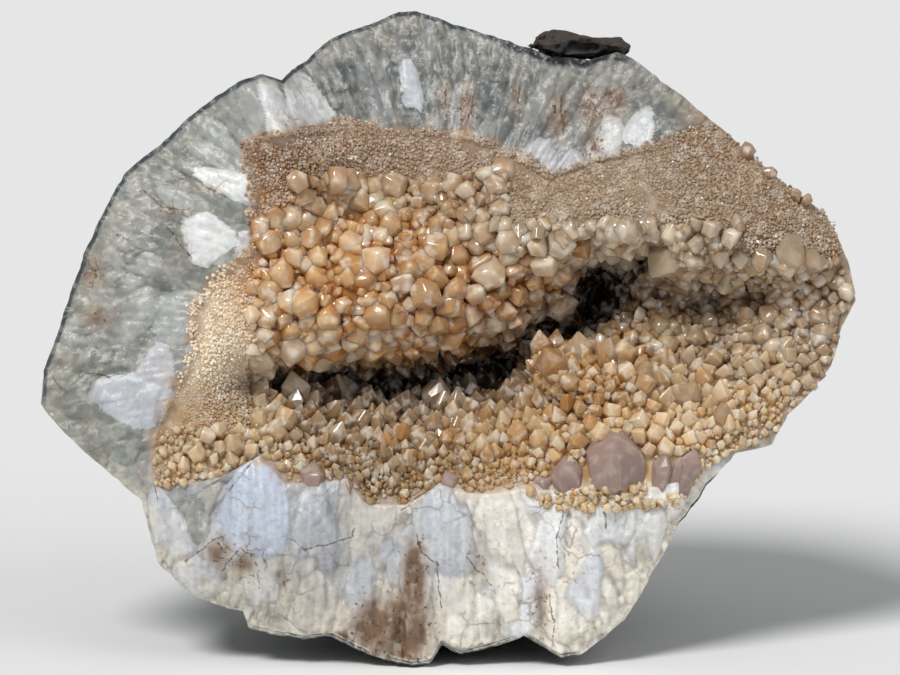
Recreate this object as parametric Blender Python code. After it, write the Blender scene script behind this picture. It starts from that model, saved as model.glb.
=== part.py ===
"""A quartz geode: a broken piece of a large geode that stands on its underside, with its hollow to the front.

The shape is drawn on the broken face, as it is seen square on. A point has three coordinates in millimetres:
across (to the right), up (from the lowest point of the face) and back (behind the face's nearest plane).
The whole drawing then leans back and is set down on the ground, in metres, with +Z up.
"""
import math
import random

import bmesh
import bpy
import numpy as np
from mathutils import Matrix, Vector
from mathutils import noise
from mathutils.geometry import delaunay_2d_cdt

MM = 0.001
SEED = 7

# Driving dimensions, in millimetres and degrees
BODY_BACK = 128.0            # how far the outside reaches behind the face
BACK_POLE = (4.0, 78.0)      # across and up, of the rearmost point
BACK_FULLNESS = 2.6          # 2 is an ellipse, more is boxier
LEAN = math.radians(10.0)    # the face leans back by this much
GROUND_UP = 1.8              # lifts the drawing so that its lowest front points touch the ground
FACE_SETBACK = -73.8         # puts the middle of the bounding box over the origin
GAP = 0.6                    # between the wall and the crust
LINING = 8.0                 # how deep the crust sits in the wall
SMALLEST_EDGE = 0.02         # shorter edges, left where crystals cross, are closed up
FLOOR_INSET = 1.5            # the wall's floor under the crust stops this far short of the seam
CARPET_INSET = 1.0           # and the sheet of small crystals this far

# Relief of the broken wall and of the outside
COLUMN_LIFT = 2.6
BREAK_LIFT = 1.8
FULL_RELIEF_WIDTH = 25.0     # a narrower wall has less relief
KNOB_SIZE = 24.0
KNOB_HEIGHT = 9.0
OUTLINE_BLUR = (-30, -20, -10, 0, 10, 20, 30)    # degrees over which the outline is averaged at the back
BLUR_RATE = 1.5              # above 1, the averaging is complete before the rear pole

# How fine the facets are
AROUND = 80
CRUST_RINGS = 9
WALL_RINGS = (0.02, 0.16, 0.34, 0.52, 0.72, 0.88, 1.0)
BACK_RINGS = 8

# The outline of the broken face, clockwise from the notch in its top edge
CENTRE = (-4.0, 120.0)
OUTLINE = [
    (-62, 215), (-52, 224), (-42, 232), (-30, 236), (-19, 241), (-12, 241), (2, 236), (15, 232),
    (27, 228), (38, 224), (52, 223), (62, 226), (70, 222), (77, 216), (92, 204), (110, 188), (125, 175),
    (138, 166), (147, 147), (150, 134), (144, 124), (140, 110), (132, 100), (124, 92), (118, 81), (105, 78),
    (94, 67), (84, 53), (74, 34), (64, 17), (57, 11), (48, 4), (41, 3), (36, 6), (27, 11), (16, 7), (4, 4),
    (-3, 8), (-7, 1), (-14, 0), (-29, 4), (-44, 11), (-55, 10), (-74, 14), (-76, 20), (-93, 25), (-107, 38),
    (-110, 48), (-113, 61), (-127, 73), (-140, 84), (-150, 96), (-149, 108), (-144, 121), (-137, 143),
    (-129, 162), (-119, 181), (-106, 191), (-92, 204), (-77, 214), (-69, 217),
]

# Where the crust ends and the broken wall begins, clockwise from the top left
SEAM = [
    (-56, 194), (-45, 195), (-36, 198), (-19, 194), (0, 194), (26, 184), (36, 178), (52, 184), (65, 187),
    (80, 190), (94, 196), (108, 184), (123, 172), (136, 163), (144, 147), (146, 134), (140, 124), (136, 111),
    (128, 101), (120, 93), (113, 83), (102, 79), (92, 68), (71, 61), (55, 64), (26, 66), (9, 64), (-4, 68),
    (-16, 60), (-31, 61), (-38, 70), (-60, 68), (-69, 77), (-81, 64), (-92, 68), (-108, 66), (-106, 86),
    (-98, 101), (-92, 116), (-92, 130), (-84, 141), (-70, 152), (-70, 171), (-74, 190),
]

# Spot depths of the broken face, landform by landform: across, up, back
LANDFORMS = {
    "rim of the left lobe": [
        (-69, 217, 8), (-92, 204, 11), (-119, 181, 14), (-137, 143, 15), (-149, 108, 15), (-140, 84, 15),
        (-127, 73, 13), (-113, 61, 12),
    ],
    "rim of the top lobe": [
        (-54, 223, 38), (-30, 236, 40), (-12, 241, 40), (15, 232, 37), (52, 223, 35), (77, 216, 35),
        (110, 188, 31), (138, 166, 26),
    ],
    "rim at the right": [(150, 134, 24), (140, 110, 20), (124, 92, 16), (105, 78, 12), (94, 67, 10)],
    "rim at the bottom": [
        (74, 34, 12), (57, 11, 12), (41, 3, 10), (16, 7, 11), (-14, 0, 10), (-44, 11, 12), (-74, 14, 13),
        (-107, 38, 13),
    ],
    "left lobe": [
        (-121, 152, 7), (-99, 171, 5), (-73, 196, 3), (-128, 98, 9), (-92, 138, 5), (-86, 160, 3),
        (-106, 116, 6), (-110, 79, 7), (-66, 175, 3),
    ],
    "step beside the left lobe": [(-64, 209, 4), (-56, 194, 2), (-48, 184, 4)],
    "foot of the step": [(-54, 213, 30), (-44, 198, 28), (-36, 184, 26)],
    "top lobe": [(-37, 222, 34), (0, 215, 31), (40, 211, 29), (73, 204, 29)],
    "top of the druse shelf": [
        (-28, 197, 28), (0, 195, 26), (36, 178, 22), (55, 184, 22), (84, 192, 22), (114, 174, 18),
    ],
    "edge of the shelf": [
        (0, 165, 20), (18, 160, 14), (40, 154, 12), (66, 156, 10), (88, 151, 8), (114, 151, 10), (132, 148, 13),
    ],
    "middle of the shelf": [(70, 171, 14), (99, 171, 12), (125, 162, 14)],
    "under the shelf": [(70, 143, 46), (92, 138, 42), (114, 138, 36), (139, 143, 25)],
    "right crust": [
        (62, 127, 45), (84, 127, 36), (106, 123, 30), (128, 134, 26), (145, 134, 23), (92, 108, 27),
        (114, 105, 21), (128, 101, 18), (106, 87, 11),
    ],
    "top of the honey mound": [(-37, 178, 26), (-11, 178, 28), (-18, 160, 20), (-44, 160, 14)],
    "honey mound": [
        (-55, 138, 9), (-37, 134, 11), (-11, 142, 15), (11, 149, 22), (26, 138, 24), (11, 130, 22),
        (-18, 123, 20), (-48, 120, 14), (40, 145, 32),
    ],
    "foot of the mound": [
        (-66, 113, 20), (-44, 114, 27), (-18, 115, 34), (0, 117, 39), (22, 121, 42), (40, 132, 46),
    ],
    "slit": [
        (-64, 105, 48), (-42, 106, 60), (-18, 104, 64), (0, 107, 70), (18, 114, 74), (35, 121, 76),
        (46, 127, 76), (53, 137, 74), (58, 146, 64), (70, 150, 54),
    ],
    "floor of the hollow": [(-59, 97, 26), (-37, 96, 36), (-11, 96, 42), (11, 100, 46), (31, 107, 44)],
    "ridge": [(35, 111, 25), (51, 113, 20), (70, 105, 16), (88, 97, 14), (103, 87, 8)],
    "lower crust": [
        (-73, 90, 8), (-55, 83, 10), (-33, 83, 15), (-11, 83, 17), (11, 86, 15), (33, 90, 10), (55, 90, 6),
        (77, 86, 5), (-84, 112, 6), (-75, 130, 5),
    ],
    "seam": [
        (-108, 68, 6), (-86, 68, 3), (-69, 76, 1), (-38, 70, 1), (-4, 68, 0), (26, 66, 0), (55, 64, 0),
        (71, 61, 1), (90, 68, 5),
    ],
    "bottom wall": [
        (-92, 46, 6), (-62, 39, 4), (-33, 39, 6), (-4, 39, 4), (26, 39, 5), (55, 39, 5), (-55, 20, 9),
        (-18, 17, 10), (18, 20, 9), (48, 17, 9),
    ],
}
SPOT_SOFTNESS = 5.0          # rounds the surface over each spot
MEAN_DEPTH = 18.0
SLOPE_REACH = 3.0            # slopes are measured this far to either side

# Crystals of the crust: small ones side by side
TIP_SPACING = 10.0
TIP_JITTER = 2.0
TIP_HEIGHT = (3.5, 7.5)
VALLEY_DEPTH = 0.6
TIPS_KEEP_INSIDE = 0.97      # of the way to the seam
CARPET_BACK = 20.0           # how far the sheet of crystals reaches back before it is cut to the wall

# Larger crystals that stand proud: across, up, radius, way they point from straight up, how much they point so
PROUD_CRYSTALS = [
    (82, 150, 8.5, 200, 0.9), (124, 152, 6.5, 170, 0.8), (48, 155, 4.6, 175, 0.9), (56, 154, 4.8, 165, 0.9),
    (20, 159, 4.4, 190, 0.8), (104, 152, 5.0, 185, 0.8),
    (39, 108, 5.6, -15, 0.9), (47, 112, 5.2, 5, 0.9), (57, 112, 4.8, 10, 0.8), (70, 104, 5.0, 25, 0.8),
    (86, 97, 4.8, 30, 0.8), (98, 90, 4.6, 35, 0.8), (-57, 98, 5.8, -10, 0.7), (-41, 97, 5.4, 10, 0.7),
    (-7, 96, 5.0, 0, 0.8), (3, 92, 4.8, 10, 0.8), (22, 97, 5.0, -5, 0.8), (-25, 88, 4.8, -10, 0.8),
]
PROUD_SHOWN = 0.9            # of the radius
PROUD_FORWARD = 0.35

# Large mauve crystals at the seam: across, up, radius, length of the prism, lean to the right in degrees
MAUVE_CRYSTALS = [
    (60, 64, 11.0, 12, -4), (43, 64, 6.2, 7, 2), (81, 63, 4.6, 8, 20), (-50, 68, 5.0, 5, 4),
    (0, 66, 4.0, 4, -8),
]
MAUVE_FORWARD = 0.45
MAUVE_TURN = 0.3             # about its own axis, in radians

# All of the larger crystals
TIP_PER_RADIUS = 1.05        # height of the pointed end
FOOT_TAPER = 0.9             # radius at the foot, of the radius at the shoulder
BURIED = 3.0

# The patch of host rock on the top edge
ROCK_MIDDLE = (45.0, 227.0, 52.0)
ROCK_HALF = (18.0, 6.5, 19.0)
ROCK_ROUGHNESS = 0.55        # share by which its radius grows and shrinks
ROCK_LUMPS = 1.6
ROCK_GAP = 0.5


def to_world(across, up, back):
    """Lean the drawing back, lift it to the ground and turn it into metres."""
    y = up * math.sin(LEAN) + back * math.cos(LEAN) + FACE_SETBACK
    z = up * math.cos(LEAN) - back * math.sin(LEAN) + GROUND_UP
    return Vector((across * MM, y * MM, z * MM))


def along_depth(distance):
    """A step straight back into the drawing, as a world vector."""
    return to_world(0, 0, distance) - to_world(0, 0, 0)


def radius_table(points):
    """Angles and radii of a closed outline about the centre, sorted by angle."""
    offsets = np.array(points, float) - CENTRE
    angles = np.arctan2(offsets[:, 1], offsets[:, 0])
    radii = np.hypot(offsets[:, 0], offsets[:, 1])
    order = np.argsort(angles)
    return angles[order], radii[order]


def radius_at(table, angle):
    """Distance from the centre to the outline in one direction."""
    wrapped = math.atan2(math.sin(angle), math.cos(angle))
    return float(np.interp(wrapped, table[0], table[1], period=2 * math.pi))


class Face:
    """The depth of the broken face, a smooth sheet through all the spot depths."""

    def __init__(self, landforms):
        spots = np.array([spot for group in landforms.values() for spot in group], float)
        self.places = spots[:, :2]
        kernel = self.kernel(self.places)
        self.weights = np.linalg.solve(kernel, spots[:, 2] - MEAN_DEPTH)

    def kernel(self, places):
        apart = places[:, None, :] - self.places[None, :, :]
        return np.sqrt((apart ** 2).sum(axis=2) + SPOT_SOFTNESS ** 2)

    def depth(self, across, up):
        return float(self.kernel(np.array([[across, up]]))[0] @ self.weights) + MEAN_DEPTH

    def outward(self, across, up):
        """The direction that looks out of the face: across, up and back."""
        right = self.depth(across + SLOPE_REACH, up) - self.depth(across - SLOPE_REACH, up)
        above = self.depth(across, up + SLOPE_REACH) - self.depth(across, up - SLOPE_REACH)
        return Vector((right, above, -2 * SLOPE_REACH)).normalized()


def new_collection(name):
    collection = bpy.data.collections.new(name)
    bpy.context.scene.collection.children.link(collection)
    return collection


def new_object(name, bm, collection, material=None):
    mesh = bpy.data.meshes.new(name)
    bm.to_mesh(mesh)
    bm.free()
    obj = bpy.data.objects.new(name, mesh)
    collection.objects.link(obj)
    if material:
        mesh.materials.append(material)
    return obj


def new_material(name, colour, roughness):
    material = bpy.data.materials.new(name)
    material.use_nodes = True
    shader = material.node_tree.nodes["Principled BSDF"]
    shader.inputs["Base Color"].default_value = (*colour, 1.0)
    shader.inputs["Roughness"].default_value = roughness
    shader.inputs["Metallic"].default_value = 0.0
    return material


def shaped_sphere(ring_count, place):
    """A UV sphere whose points move to place(angle, ring), with ring 0 at the front pole."""
    bm = bmesh.new()
    bmesh.ops.create_uvsphere(bm, u_segments=AROUND, v_segments=ring_count, radius=1.0)
    for vert in bm.verts:
        ring = round(math.acos(max(-1.0, min(1.0, vert.co.z))) * ring_count / math.pi)
        angle = math.atan2(vert.co.y, vert.co.x)
        vert.co = to_world(*place(angle, ring))
    return bm


class Columns:
    """The broken wall's columns of quartz: each stands out or steps back, and breaks at its own places."""

    def __init__(self, seed):
        rng = random.Random(seed)
        self.lifts = [rng.uniform(-COLUMN_LIFT, COLUMN_LIFT) for _ in range(AROUND)]
        self.breaks = [[rng.uniform(-BREAK_LIFT, BREAK_LIFT) for _ in WALL_RINGS] for _ in range(AROUND)]

    def lift(self, angle, ring):
        column = round(angle / (2 * math.pi) * AROUND) % AROUND
        fading = math.sin(math.pi * WALL_RINGS[ring]) ** 0.5
        return (self.lifts[column] + self.breaks[column][ring]) * fading


def make_wall(face, rim, seam, collection, material):
    columns = Columns(SEED)
    front_rings = CRUST_RINGS + len(WALL_RINGS)
    ring_count = front_rings + BACK_RINGS

    def place(angle, ring):
        cosine, sine = math.cos(angle), math.sin(angle)
        rim_radius = radius_at(rim, angle)
        seam_radius = radius_at(seam, angle)
        if ring <= front_rings:
            if ring <= CRUST_RINGS:
                radius = (seam_radius - FLOOR_INSET) * ring / CRUST_RINGS
                sunk = LINING
            else:
                wall_ring = ring - CRUST_RINGS - 1
                wall_width = rim_radius - seam_radius
                radius = seam_radius + wall_width * WALL_RINGS[wall_ring]
                sunk = columns.lift(angle, wall_ring) * min(1.0, wall_width / FULL_RELIEF_WIDTH)
            across = CENTRE[0] + radius * cosine
            up = CENTRE[1] + radius * sine
            return across, up, face.depth(across, up) + sunk
        turn = 0.5 * math.pi * (ring - front_rings) / BACK_RINGS
        narrowing = math.cos(turn) ** (2 / BACK_FULLNESS)
        deepening = math.sin(turn) ** (2 / BACK_FULLNESS)
        rim_back = face.depth(CENTRE[0] + rim_radius * cosine, CENTRE[1] + rim_radius * sine)
        around = [radius_at(rim, angle + math.radians(step)) for step in OUTLINE_BLUR]
        blurred = sum(around) / len(around)
        radius = rim_radius + (blurred - rim_radius) * min(1.0, BLUR_RATE * math.sin(turn))
        across = BACK_POLE[0] + (CENTRE[0] + radius * cosine - BACK_POLE[0]) * narrowing
        up = BACK_POLE[1] + (CENTRE[1] + radius * sine - BACK_POLE[1]) * narrowing
        back = rim_back + (BODY_BACK - rim_back) * deepening
        knob = noise.noise(Vector((across, up, back)) / KNOB_SIZE) * math.sin(turn)
        side = Vector((cosine * narrowing, sine * narrowing, deepening)) * KNOB_HEIGHT * knob
        return across + side.x, up + side.y, back + side.z

    bm = shaped_sphere(ring_count, place)
    cut_flat(bm)
    bmesh.ops.triangulate(bm, faces=bm.faces)
    return new_object("quartz_wall", bm, collection, material)


def cut_flat(bm):
    """Cut off what lies below the ground and close the cut, which is the flat spot that it stands on."""
    geometry = bm.verts[:] + bm.edges[:] + bm.faces[:]
    cut = bmesh.ops.bisect_plane(
        bm, geom=geometry, dist=1e-7, plane_co=(0, 0, 0), plane_no=(0, 0, 1), clear_inner=True)
    edges = [item for item in cut["geom_cut"] if isinstance(item, bmesh.types.BMEdge)]
    bmesh.ops.holes_fill(bm, edges=edges, sides=0)


def inside_seam(seam, across, up, share):
    """Whether a place lies within a share of the way from the centre to the seam."""
    off = Vector((across - CENTRE[0], up - CENTRE[1]))
    return off.length < share * radius_at(seam, math.atan2(off.y, off.x)) - CARPET_INSET


def tip_places(seam):
    """Places of the crystal tips, on a jittered triangular grid inside the seam."""
    rng = random.Random(SEED + 1)
    row_step = TIP_SPACING * math.sqrt(0.75)
    lowest = min(up for across, up in SEAM)
    highest = max(up for across, up in SEAM)
    half_row = int(max(abs(across) for across, up in SEAM) / TIP_SPACING) + 1
    places = []
    for row in range(int((highest - lowest) / row_step) + 1):
        for column in range(-half_row, half_row + 1):
            across = CENTRE[0] + (column + 0.5 * (row % 2)) * TIP_SPACING + rng.uniform(-TIP_JITTER, TIP_JITTER)
            up = lowest + row * row_step + rng.uniform(-TIP_JITTER, TIP_JITTER)
            if inside_seam(seam, across, up, TIPS_KEEP_INSIDE):
                places.append((across, up))
    return places


def valley_places(tips, seam):
    """The middle of each triangle between three tips, where the flanks of three crystals meet."""
    flat = [Vector(tip) for tip in tips]
    triangles = delaunay_2d_cdt(flat, [], [], 0, 1e-4)[2]
    middles = []
    for a, b, c in triangles:
        middle = (flat[a] + flat[b] + flat[c]) / 3
        longest = max((flat[a] - flat[b]).length, (flat[b] - flat[c]).length, (flat[c] - flat[a]).length)
        if longest < 2 * TIP_SPACING and inside_seam(seam, middle.x, middle.y, TIPS_KEEP_INSIDE):
            middles.append((middle.x, middle.y))
    return middles


def make_carpet(face, seam, collection):
    """Pointed crystals side by side: a sheet with a tip over each and a valley between each three."""
    rng = random.Random(SEED + 2)
    border = []
    for step in range(AROUND):
        angle = 2 * math.pi * step / AROUND
        radius = radius_at(seam, angle) - CARPET_INSET
        border.append((CENTRE[0] + radius * math.cos(angle), CENTRE[1] + radius * math.sin(angle)))
    tips = tip_places(seam)
    flat = border + tips + valley_places(tips, seam)
    made = delaunay_2d_cdt([Vector(place) for place in flat], [], [range(AROUND)], 1, 1e-4)
    bm = bmesh.new()
    for place, sources in zip(made[0], made[3]):
        is_tip = any(AROUND <= source < AROUND + len(tips) for source in sources)
        height = rng.uniform(*TIP_HEIGHT) if is_tip else -VALLEY_DEPTH
        bm.verts.new(to_world(place.x, place.y, face.depth(place.x, place.y) - height))
    bm.verts.ensure_lookup_table()
    for corners in made[2]:
        bm.faces.new([bm.verts[corner] for corner in corners])
    thicken_back(bm)
    return new_object("crystal_crust", bm, collection)


def thicken_back(bm):
    """Close the sheet into a solid that reaches back into the wall."""
    made = bmesh.ops.extrude_face_region(bm, geom=bm.faces[:], use_keep_orig=True)
    back = [item for item in made["geom"] if isinstance(item, bmesh.types.BMVert)]
    bmesh.ops.translate(bm, vec=along_depth(CARPET_BACK), verts=back)
    bmesh.ops.recalc_face_normals(bm, faces=bm.faces)


def add_crystal(bm, foot, direction, radius, shown, turn):
    """A six-sided prism with a pointed end, drawn at foot and pointing along direction."""
    length = BURIED + shown
    made = bmesh.ops.create_cone(
        bm, cap_ends=True, segments=6, radius1=radius * FOOT_TAPER * MM, radius2=radius * MM, depth=length * MM)
    verts = made["verts"]
    top = max({f for v in verts for f in v.link_faces}, key=lambda f: f.calc_center_median().z)
    tip = bmesh.ops.poke(bm, faces=[top], offset=radius * TIP_PER_RADIUS * MM, center_mode="MEAN")
    verts = verts + tip["verts"]
    start = to_world(*foot)
    aim = to_world(*(Vector(foot) + direction)) - start
    turned = aim.to_track_quat("Z", "Y").to_matrix().to_4x4() @ Matrix.Rotation(turn, 4, "Z")
    lift = Matrix.Translation((0, 0, (0.5 * length - BURIED) * MM))
    bmesh.ops.transform(bm, matrix=Matrix.Translation(start) @ turned @ lift, verts=verts)


def make_crust(face, seam, wall, collection, cutters, material):
    crust = make_carpet(face, seam, collection)
    rng = random.Random(SEED + 3)
    bm = bmesh.new()
    for across, up, radius, lean, rise in PROUD_CRYSTALS:
        side = Vector((math.sin(math.radians(lean)), math.cos(math.radians(lean)), -PROUD_FORWARD))
        direction = (face.outward(across, up) + side * rise).normalized()
        foot = (across, up, face.depth(across, up))
        add_crystal(bm, foot, direction, radius, radius * PROUD_SHOWN, rng.uniform(0, math.pi / 3))
    for across, up, radius, shown, lean in MAUVE_CRYSTALS:
        direction = Vector((math.sin(math.radians(lean)), 1.0, -MAUVE_FORWARD)).normalized()
        add_crystal(bm, (across, up, face.depth(across, up)), direction, radius, shown, MAUVE_TURN)
    crystals = new_object("large_crystals", bm, cutters)
    as_guide(crystals)

    join = crust.modifiers.new("join the large crystals", "BOOLEAN")
    join.operation = "UNION"
    join.solver = "EXACT"
    join.use_self = True
    join.object = crystals
    fit = crust.modifiers.new("fit it in the wall", "BOOLEAN")
    fit.operation = "DIFFERENCE"
    fit.solver = "EXACT"
    fit.object = moved_copy(wall, "wall_cutter", along_depth(-GAP), cutters)
    keep_outer_surface(crust)
    crust.data.materials.append(material)
    return crust


def keep_outer_surface(obj):
    """Apply the modifiers and delete all but the largest body, so that no pocket stays hollow."""
    view = bpy.context.evaluated_depsgraph_get()
    mesh = bpy.data.meshes.new_from_object(obj.evaluated_get(view))
    obj.modifiers.clear()
    obj.data = mesh
    bm = bmesh.new()
    bm.from_mesh(mesh)
    bodies = connected_bodies(bm)
    largest = max(bodies, key=len)
    stray = [vert for body in bodies if body is not largest for vert in body]
    bmesh.ops.delete(bm, geom=stray, context="VERTS")
    bmesh.ops.remove_doubles(bm, verts=bm.verts, dist=SMALLEST_EDGE * MM)
    bmesh.ops.dissolve_degenerate(bm, edges=bm.edges, dist=SMALLEST_EDGE * MM)
    bm.to_mesh(mesh)
    bm.free()


def connected_bodies(bm):
    """The mesh's points, grouped by what edges connect."""
    left = set(bm.verts)
    bodies = []
    while left:
        body = []
        front = [left.pop()]
        while front:
            vert = front.pop()
            body.append(vert)
            for edge in vert.link_edges:
                other = edge.other_vert(vert)
                if other in left:
                    left.remove(other)
                    front.append(other)
        bodies.append(body)
    return bodies


def moved_copy(source, name, offset, cutters):
    """A cutter in the shape of source, moved a little so that a gap is left."""
    copy = bpy.data.objects.new(name, source.data.copy())
    copy.location = offset
    cutters.objects.link(copy)
    as_guide(copy)
    return copy


def as_guide(obj):
    obj.hide_render = True
    obj.display_type = "WIRE"


def make_host_rock(wall, collection, cutters, material):
    """A rough lump that is cut to sit on the wall's top edge."""
    bm = bmesh.new()
    bmesh.ops.create_icosphere(bm, subdivisions=3, radius=1.0)
    for vert in bm.verts:
        grown = 1.0 + ROCK_ROUGHNESS * noise.noise(vert.co * ROCK_LUMPS + Vector((3.0, 1.0, 5.0)))
        vert.co = to_world(*[ROCK_MIDDLE[i] + vert.co[i] * ROCK_HALF[i] * grown for i in range(3)])
    rock = new_object("host_rock", bm, collection, material)
    turn_faces_out(rock)
    fit = rock.modifiers.new("fit it on the wall", "BOOLEAN")
    fit.operation = "DIFFERENCE"
    fit.solver = "EXACT"
    fit.object = moved_copy(wall, "rock_cutter", (0, 0, ROCK_GAP * MM), cutters)
    return rock


def turn_faces_out(obj):
    """The drawing is mirrored on its way into the world, which turns the faces of a shape drawn in it."""
    bm = bmesh.new()
    bm.from_mesh(obj.data)
    bmesh.ops.recalc_face_normals(bm, faces=bm.faces)
    bm.to_mesh(obj.data)
    bm.free()


def main():
    for obj in list(bpy.data.objects):
        bpy.data.objects.remove(obj, do_unlink=True)
    collection = new_collection("quartz_geode")
    cutters = new_collection("cutters")
    quartz = new_material("milky quartz", (0.66, 0.66, 0.62), 0.35)
    honey = new_material("honey quartz crystals", (0.62, 0.43, 0.22), 0.2)
    rock = new_material("dark host rock", (0.06, 0.055, 0.05), 0.8)
    face = Face(LANDFORMS)
    rim = radius_table(OUTLINE)
    seam = radius_table(SEAM)
    wall = make_wall(face, rim, seam, collection, quartz)
    make_crust(face, seam, wall, collection, cutters, honey)
    make_host_rock(wall, collection, cutters, rock)


main()
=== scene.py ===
# %% [markdown]
# A quartz geode, dressed for its picture. The imported model gives its solids: the quartz wall, the crust of
# crystals and a patch of host rock. Here each of them gets the fine surface that a real one has.
# Each step first says what it is on the real stone, how it could be made, and why this way was chosen.
# The first step loads the imported model as a fixed frame.

# %% Load the frame
import math
import random

import bmesh
import bpy
import numpy as np
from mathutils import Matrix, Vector, noise


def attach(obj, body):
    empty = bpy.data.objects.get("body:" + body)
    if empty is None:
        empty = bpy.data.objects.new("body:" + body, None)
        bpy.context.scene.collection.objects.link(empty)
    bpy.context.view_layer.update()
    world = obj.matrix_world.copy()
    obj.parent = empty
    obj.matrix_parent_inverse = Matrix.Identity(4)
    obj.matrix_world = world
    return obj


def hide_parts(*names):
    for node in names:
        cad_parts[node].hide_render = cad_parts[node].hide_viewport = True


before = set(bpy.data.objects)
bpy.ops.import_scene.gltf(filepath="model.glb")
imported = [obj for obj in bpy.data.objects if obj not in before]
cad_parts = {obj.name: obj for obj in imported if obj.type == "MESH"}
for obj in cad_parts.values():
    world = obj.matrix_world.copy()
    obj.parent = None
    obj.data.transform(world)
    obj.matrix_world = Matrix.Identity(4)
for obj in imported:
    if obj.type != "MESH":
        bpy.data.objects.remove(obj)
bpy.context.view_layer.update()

MM = 0.001
print("solids:", sorted(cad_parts))

# %% [markdown]
# The stone is drawn on its broken face, as seen square on: across, up and back, in millimetres. The face
# leans back by ten degrees, and these four values place the drawing where the solids are.

# %% Place of the drawing
LEAN = math.radians(10.0)
GROUND_UP = 1.8
FACE_SETBACK = -73.8
CENTRE = np.array((-4.0, 120.0))


def to_world(across, up, back):
    """Points of the drawing as an array of world points, in metres."""
    y = up * math.sin(LEAN) + back * math.cos(LEAN) + FACE_SETBACK
    z = up * math.cos(LEAN) - back * math.sin(LEAN) + GROUND_UP
    return np.stack(np.broadcast_arrays(across, y, z), axis=-1) * MM


def turn_to_world(vectors):
    """Directions of the drawing as unit world directions."""
    turned = to_world(*vectors.T) - to_world(0.0, 0.0, 0.0)
    return turned / np.linalg.norm(turned, axis=1, keepdims=True)


print("the face leans back by", round(math.degrees(LEAN)), "degrees")

# %% [markdown]
# The outline and the seam, where crystals meet broken wall, are closed lines around one centre, so a radius
# for each angle is all they need. A mesh outline would do too, but a radius is easier to stretch and shrink.

# %% Outline and seam
OUTLINE = [
    (-62, 215), (-52, 224), (-42, 232), (-30, 236), (-19, 241), (-12, 241), (2, 236), (15, 232),
    (27, 228), (38, 224), (52, 223), (62, 226), (70, 222), (77, 216), (92, 204), (110, 188), (125, 175),
    (138, 166), (147, 147), (149, 134), (144, 124), (140, 110), (132, 100), (124, 92), (118, 81), (105, 78),
    (94, 67), (84, 53), (74, 34), (64, 17), (57, 11), (48, 4), (41, 3), (36, 6), (27, 11), (16, 7), (4, 4),
    (-3, 8), (-7, 1), (-14, 0), (-29, 4), (-44, 11), (-55, 10), (-74, 14), (-76, 20), (-93, 25), (-107, 38),
    (-110, 48), (-113, 61), (-127, 73), (-140, 84), (-150, 96), (-149, 108), (-144, 121), (-137, 143),
    (-129, 162), (-119, 181), (-106, 191), (-92, 204), (-77, 214), (-69, 217),
]
SEAM = [
    (-56, 194), (-45, 195), (-36, 198), (-19, 194), (0, 194), (26, 184), (36, 178), (52, 184), (65, 187),
    (80, 190), (94, 196), (108, 184), (123, 172), (136, 163), (144, 147), (146, 134), (140, 124), (136, 111),
    (128, 101), (120, 93), (113, 83), (102, 79), (92, 71), (71, 66), (55, 68), (26, 66), (9, 64), (-4, 68),
    (-16, 60), (-31, 61), (-38, 70), (-60, 68), (-69, 78), (-82, 70), (-92, 68), (-108, 66), (-106, 86),
    (-98, 101), (-92, 116), (-92, 130), (-84, 141), (-70, 152), (-70, 171), (-74, 190),
]


def radius_table(points):
    offsets = np.array(points, float) - CENTRE
    angles = np.arctan2(offsets[:, 1], offsets[:, 0])
    order = np.argsort(angles)
    return angles[order], np.hypot(offsets[:, 0], offsets[:, 1])[order]


def radius_at(table, angles):
    wrapped = np.arctan2(np.sin(angles), np.cos(angles))
    return np.interp(wrapped, table[0], table[1], period=2 * math.pi)


rim = radius_table(OUTLINE)
seam = radius_table(SEAM)
print("rim points:", len(OUTLINE), "seam points:", len(SEAM))

# %% [markdown]
# The depth of the face is a smooth sheet through spot depths, as a map's heights are drawn from spot heights.
# Each landform has its own spots: across, up and back.

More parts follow.
